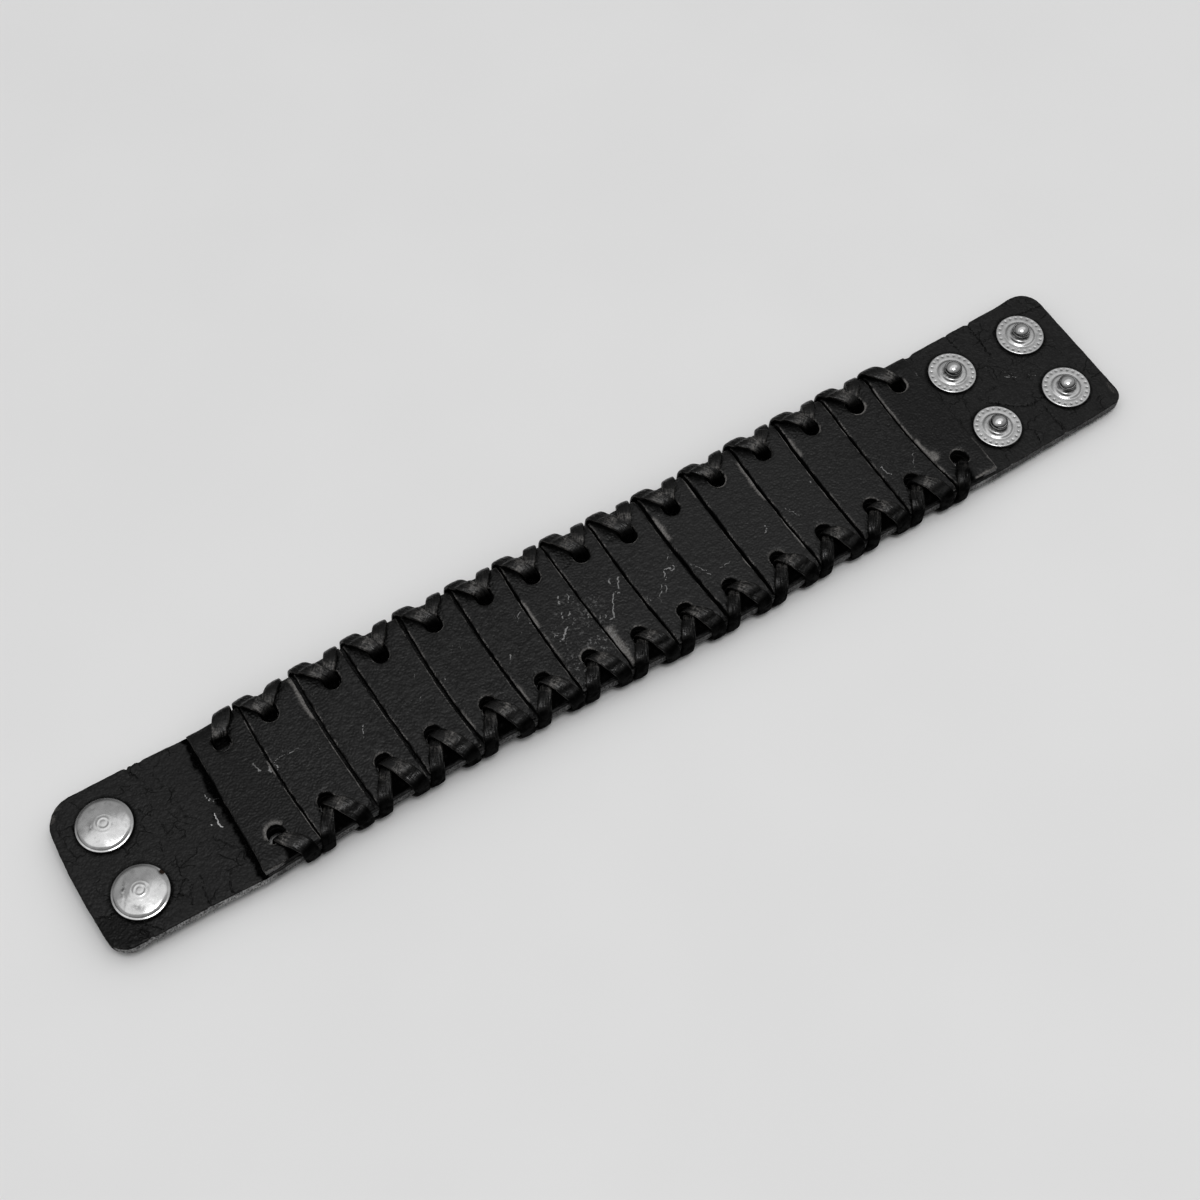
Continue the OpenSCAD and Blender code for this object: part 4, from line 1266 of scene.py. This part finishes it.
def strap_finish():
    leather = Finish("strap_black")
    grain = grain_of(leather, 0.45)
    cloud, fibre = leather.noise(8), leather.noise(0.3, roughness=0.6)
    raw, rub, rim, scratch = leather.marks("raw", "rub", "rim", "scratch")
    crack, peel, painted_shade = leather.marks("crack", "peel", "painted_shade")
    along, aside = leather.axis("X"), leather.axis("Y")
    hair = hair_cracks(leather) * (1 - raw)
    flesh = leather.mix(fibre.step(0.4, 0.7), grey(0.0008), grey(0.006))
    base = leather.coats(
        grey(0.015), (grain.step(0.75, 1.15), grey(0.024)),
        (cloud.step(0.35, 0.7) * 0.3, grey(0.022)), (peel, flesh),
        ((crack.step(0.15, 0.5) + hair * 0.5).least(1.0), grey(0.0008)))

    # The skin is rubbed and scratched, and ragged along the outer edge.
    scored = (scratch * 2.0 + fibre * 0.9 - 0.85).step(0.05, 0.6)
    rubbed = (rub * 1.35 + fibre * 0.9 - 0.75).step(0.05, 0.6)
    outer = (aside * aside).step(0.0150 ** 2, 0.0160 ** 2).most(along.step(0.118, 0.120))
    ragged = outer * rim.step(0.75, 1.0) * fibre.step(0.45, 0.65)
    ragged = ragged * leather.noise(3, detail=1).step(0.4, 0.6)
    worn = rubbed.most(scored).most(ragged * 0.6)
    pale = leather.coats(grey(0.04), (fibre.step(0.35, 0.75), grey(0.13, 0.06)),
                         (scored, grey(0.45)))

    # The outer cut edge is raw and fibrous: palest at its two ends, and painted darker under the
    # lacing as painted shade. The holes' walls are black.
    strands = leather.noise(0.35, roughness=0.6, at=leather.stretched(1.0, 1.0, 0.45))
    laced = along.step(-0.092, -0.090) * along.fall(0.082, 0.086)
    grimy = (along.fall(-0.119, -0.105) * 0.25).most(along.step(0.084, 0.090) * 0.55)
    cut = leather.coats(
        grey(0.09), (strands.step(0.30, 0.60), grey(0.55)),
        (leather.noise(2.5, detail=2).step(0.4, 0.65) * 0.35, grey(0.05)),
        (laced * 0.6, grey(0.02)), (grimy, grey(0.03)))
    cut = leather.mix(outer, grey(0.004), cut)
    # The painted shade mark lays a flat black beside slat 1 and round each snap.
    return leather.finish(
        leather.coats(base, (worn, pale), (raw.step(0.45, 0.95), cut)),
        rough=cloud.step(0.3, 0.7, 0.42, 0.52) + worn * 0.3 + raw * 0.4 - peel * 0.05,
        height=grain * 0.135 + strands * raw * 0.3 - hair * 0.10 - crack * 0.1,
        painted_shade=painted_shade * fibre.step(0.3, 0.5, 0.55, 1.0), Specular_IOR_Level=0.34)


strap_black = strap_finish()
print("the strap's leather is ready")

# %% The lacing's leather
def lace_finish():
    leather = Finish("lace_black")
    along, across, bend, painted_shade = leather.marks("along", "across", "bend", "painted_shade")

    def drawn(x, y, shift, scale):
        """Noise that follows the strip round its bends."""
        at = leather.add("ShaderNodeCombineXYZ", None, {
            "X": along * x, "Y": across * y, "Z": shift})
        return leather.add("ShaderNodeTexNoise", None, {
            "Vector": at, "Scale": scale, "Detail": 2.0, "Roughness": 0.5})

    streak, crease = drawn(0.35, 2.6, 0.0, 1.3), drawn(1.6, 0.7, 3.0, 1.0)
    fibre, patch = leather.noise(0.35, roughness=0.6), leather.noise(1.6)
    # The side mark paints both edges of the strip paler, as a painted highlight along the edges.
    side = (across * across).step(0.8, 1.0)
    # Just before each dive into a hole, the bend mark paints the top paler: partly real rubbing,
    # partly a painted highlight.
    rubbed = bend * (streak.step(0.40, 0.60) * 0.6 + crease.step(0.45, 0.6) * 0.5)
    worn = rubbed * fibre.step(0.3, 0.6) + side * patch.step(0.35, 0.60) * 0.45
    colour = leather.coats(grey(0.0015), (streak.step(0.4, 0.65), grey(0.0070, 0.05)),
                           (worn.least(1.0), grey(0.17, 0.04)))
    # The painted shade mark lays a flat black over the near lace where it lies in shade.
    return leather.finish(
        colour, rough=patch.step(0.35, 0.65, 0.20, 0.36) + worn * 0.3,
        height=streak * 0.20 + crease * 0.10 + patch * 0.07,
        painted_shade=painted_shade * patch.step(0.3, 0.6, 1.0, 0.8), Specular_IOR_Level=0.5)


lace_black = lace_finish()
print("the lacing's leather is ready")

# %% The nickel
def nickel_finish(name, shine, low, high, smear):
    """Plated metal that mirrors this much light, and is this smooth at best and at worst."""
    metal = Finish(name)
    cloud = metal.noise(2.4, distortion=0.4)
    scuff = metal.noise(0.35, roughness=0.6)
    hair = metal.noise(0.5, detail=4, at=metal.stretched(0.25, 1.6, 1.0))
    rust, tarnish_and_dark_reflection, polish = metal.marks("rust", "tarnish_and_dark_reflection", "polish")
    # This mark is dirt in the studs' dimples and groove, and a painted dark reflection on the caps
    # and round the studs' necks.
    tarnish_and_dark_reflection = tarnish_and_dark_reflection * metal.noise(0.8).step(0.3, 0.6)
    smudge = metal.noise(1.3, detail=4, distortion=0.6).step(0.50, 0.70)
    eaten = (rust * 1.4 + scuff * 0.6 - 0.55).step(0.1, 0.5)
    colour = metal.coats(
        grey(shine * 0.88), (cloud.step(0.3, 0.7), grey(shine)),
        ((tarnish_and_dark_reflection * 0.85 + smudge * 0.18).least(1.0), grey(shine * 0.18)),
        (eaten, (0.030, 0.017, 0.010, 1)))
    rough = cloud.step(0.3, 0.75, low, high) + scuff.step(0.5, 0.8) * smear
    rough = (rough + eaten * 0.4 + smudge * 0.10) * (1 - polish * 0.6)
    return metal.finish(colour, rough, height=scuff * 0.003 + hair * 0.003 + cloud * 0.02,
                        Metallic=1 - eaten * 0.8)


cap_nickel = nickel_finish("cap_nickel", 0.54, 0.10, 0.20, 0.12)
stud_nickel = nickel_finish("stud_nickel", 0.515, 0.16, 0.30, 0.10)
for name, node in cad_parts.items():
    if name.startswith(("snap_socket", "stud_back")):
        node.data.materials.clear()
        node.data.materials.append(stud_nickel)
print("two nickels")

# %% [markdown]
# ## Put the pieces in the frame
# Every piece rides on the cuff's one body and stands for its imported solid. The sockets and the
# flat backs of the studs keep their imported shape, because nothing about them shows in the
# photograph, and only get the metal.

# %% Dress, ride and replace
pairs = [(strap, strap_black, "base_strap", "strap_leather"),
         (lace_far, lace_black, "lace_far", "lace_leather"),
         (lace_near, lace_black, "lace_near", "lace_leather")]
pairs += [(piece, slat_black, f"slat_{i:02d}", "slat_leather") for i, piece in enumerate(slats, 1)]
pairs += [(piece, cap_nickel, f"snap_cap_{place}", "nickel") for place, piece in caps.items()]
pairs += [(piece, stud_nickel, f"stud_{place}", "nickel") for place, piece in studs.items()]
for piece, look, node, finish in pairs:
    piece.data.materials.append(look)
    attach(piece, "root")
    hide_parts(node)
print(len(pairs), "pieces in place")
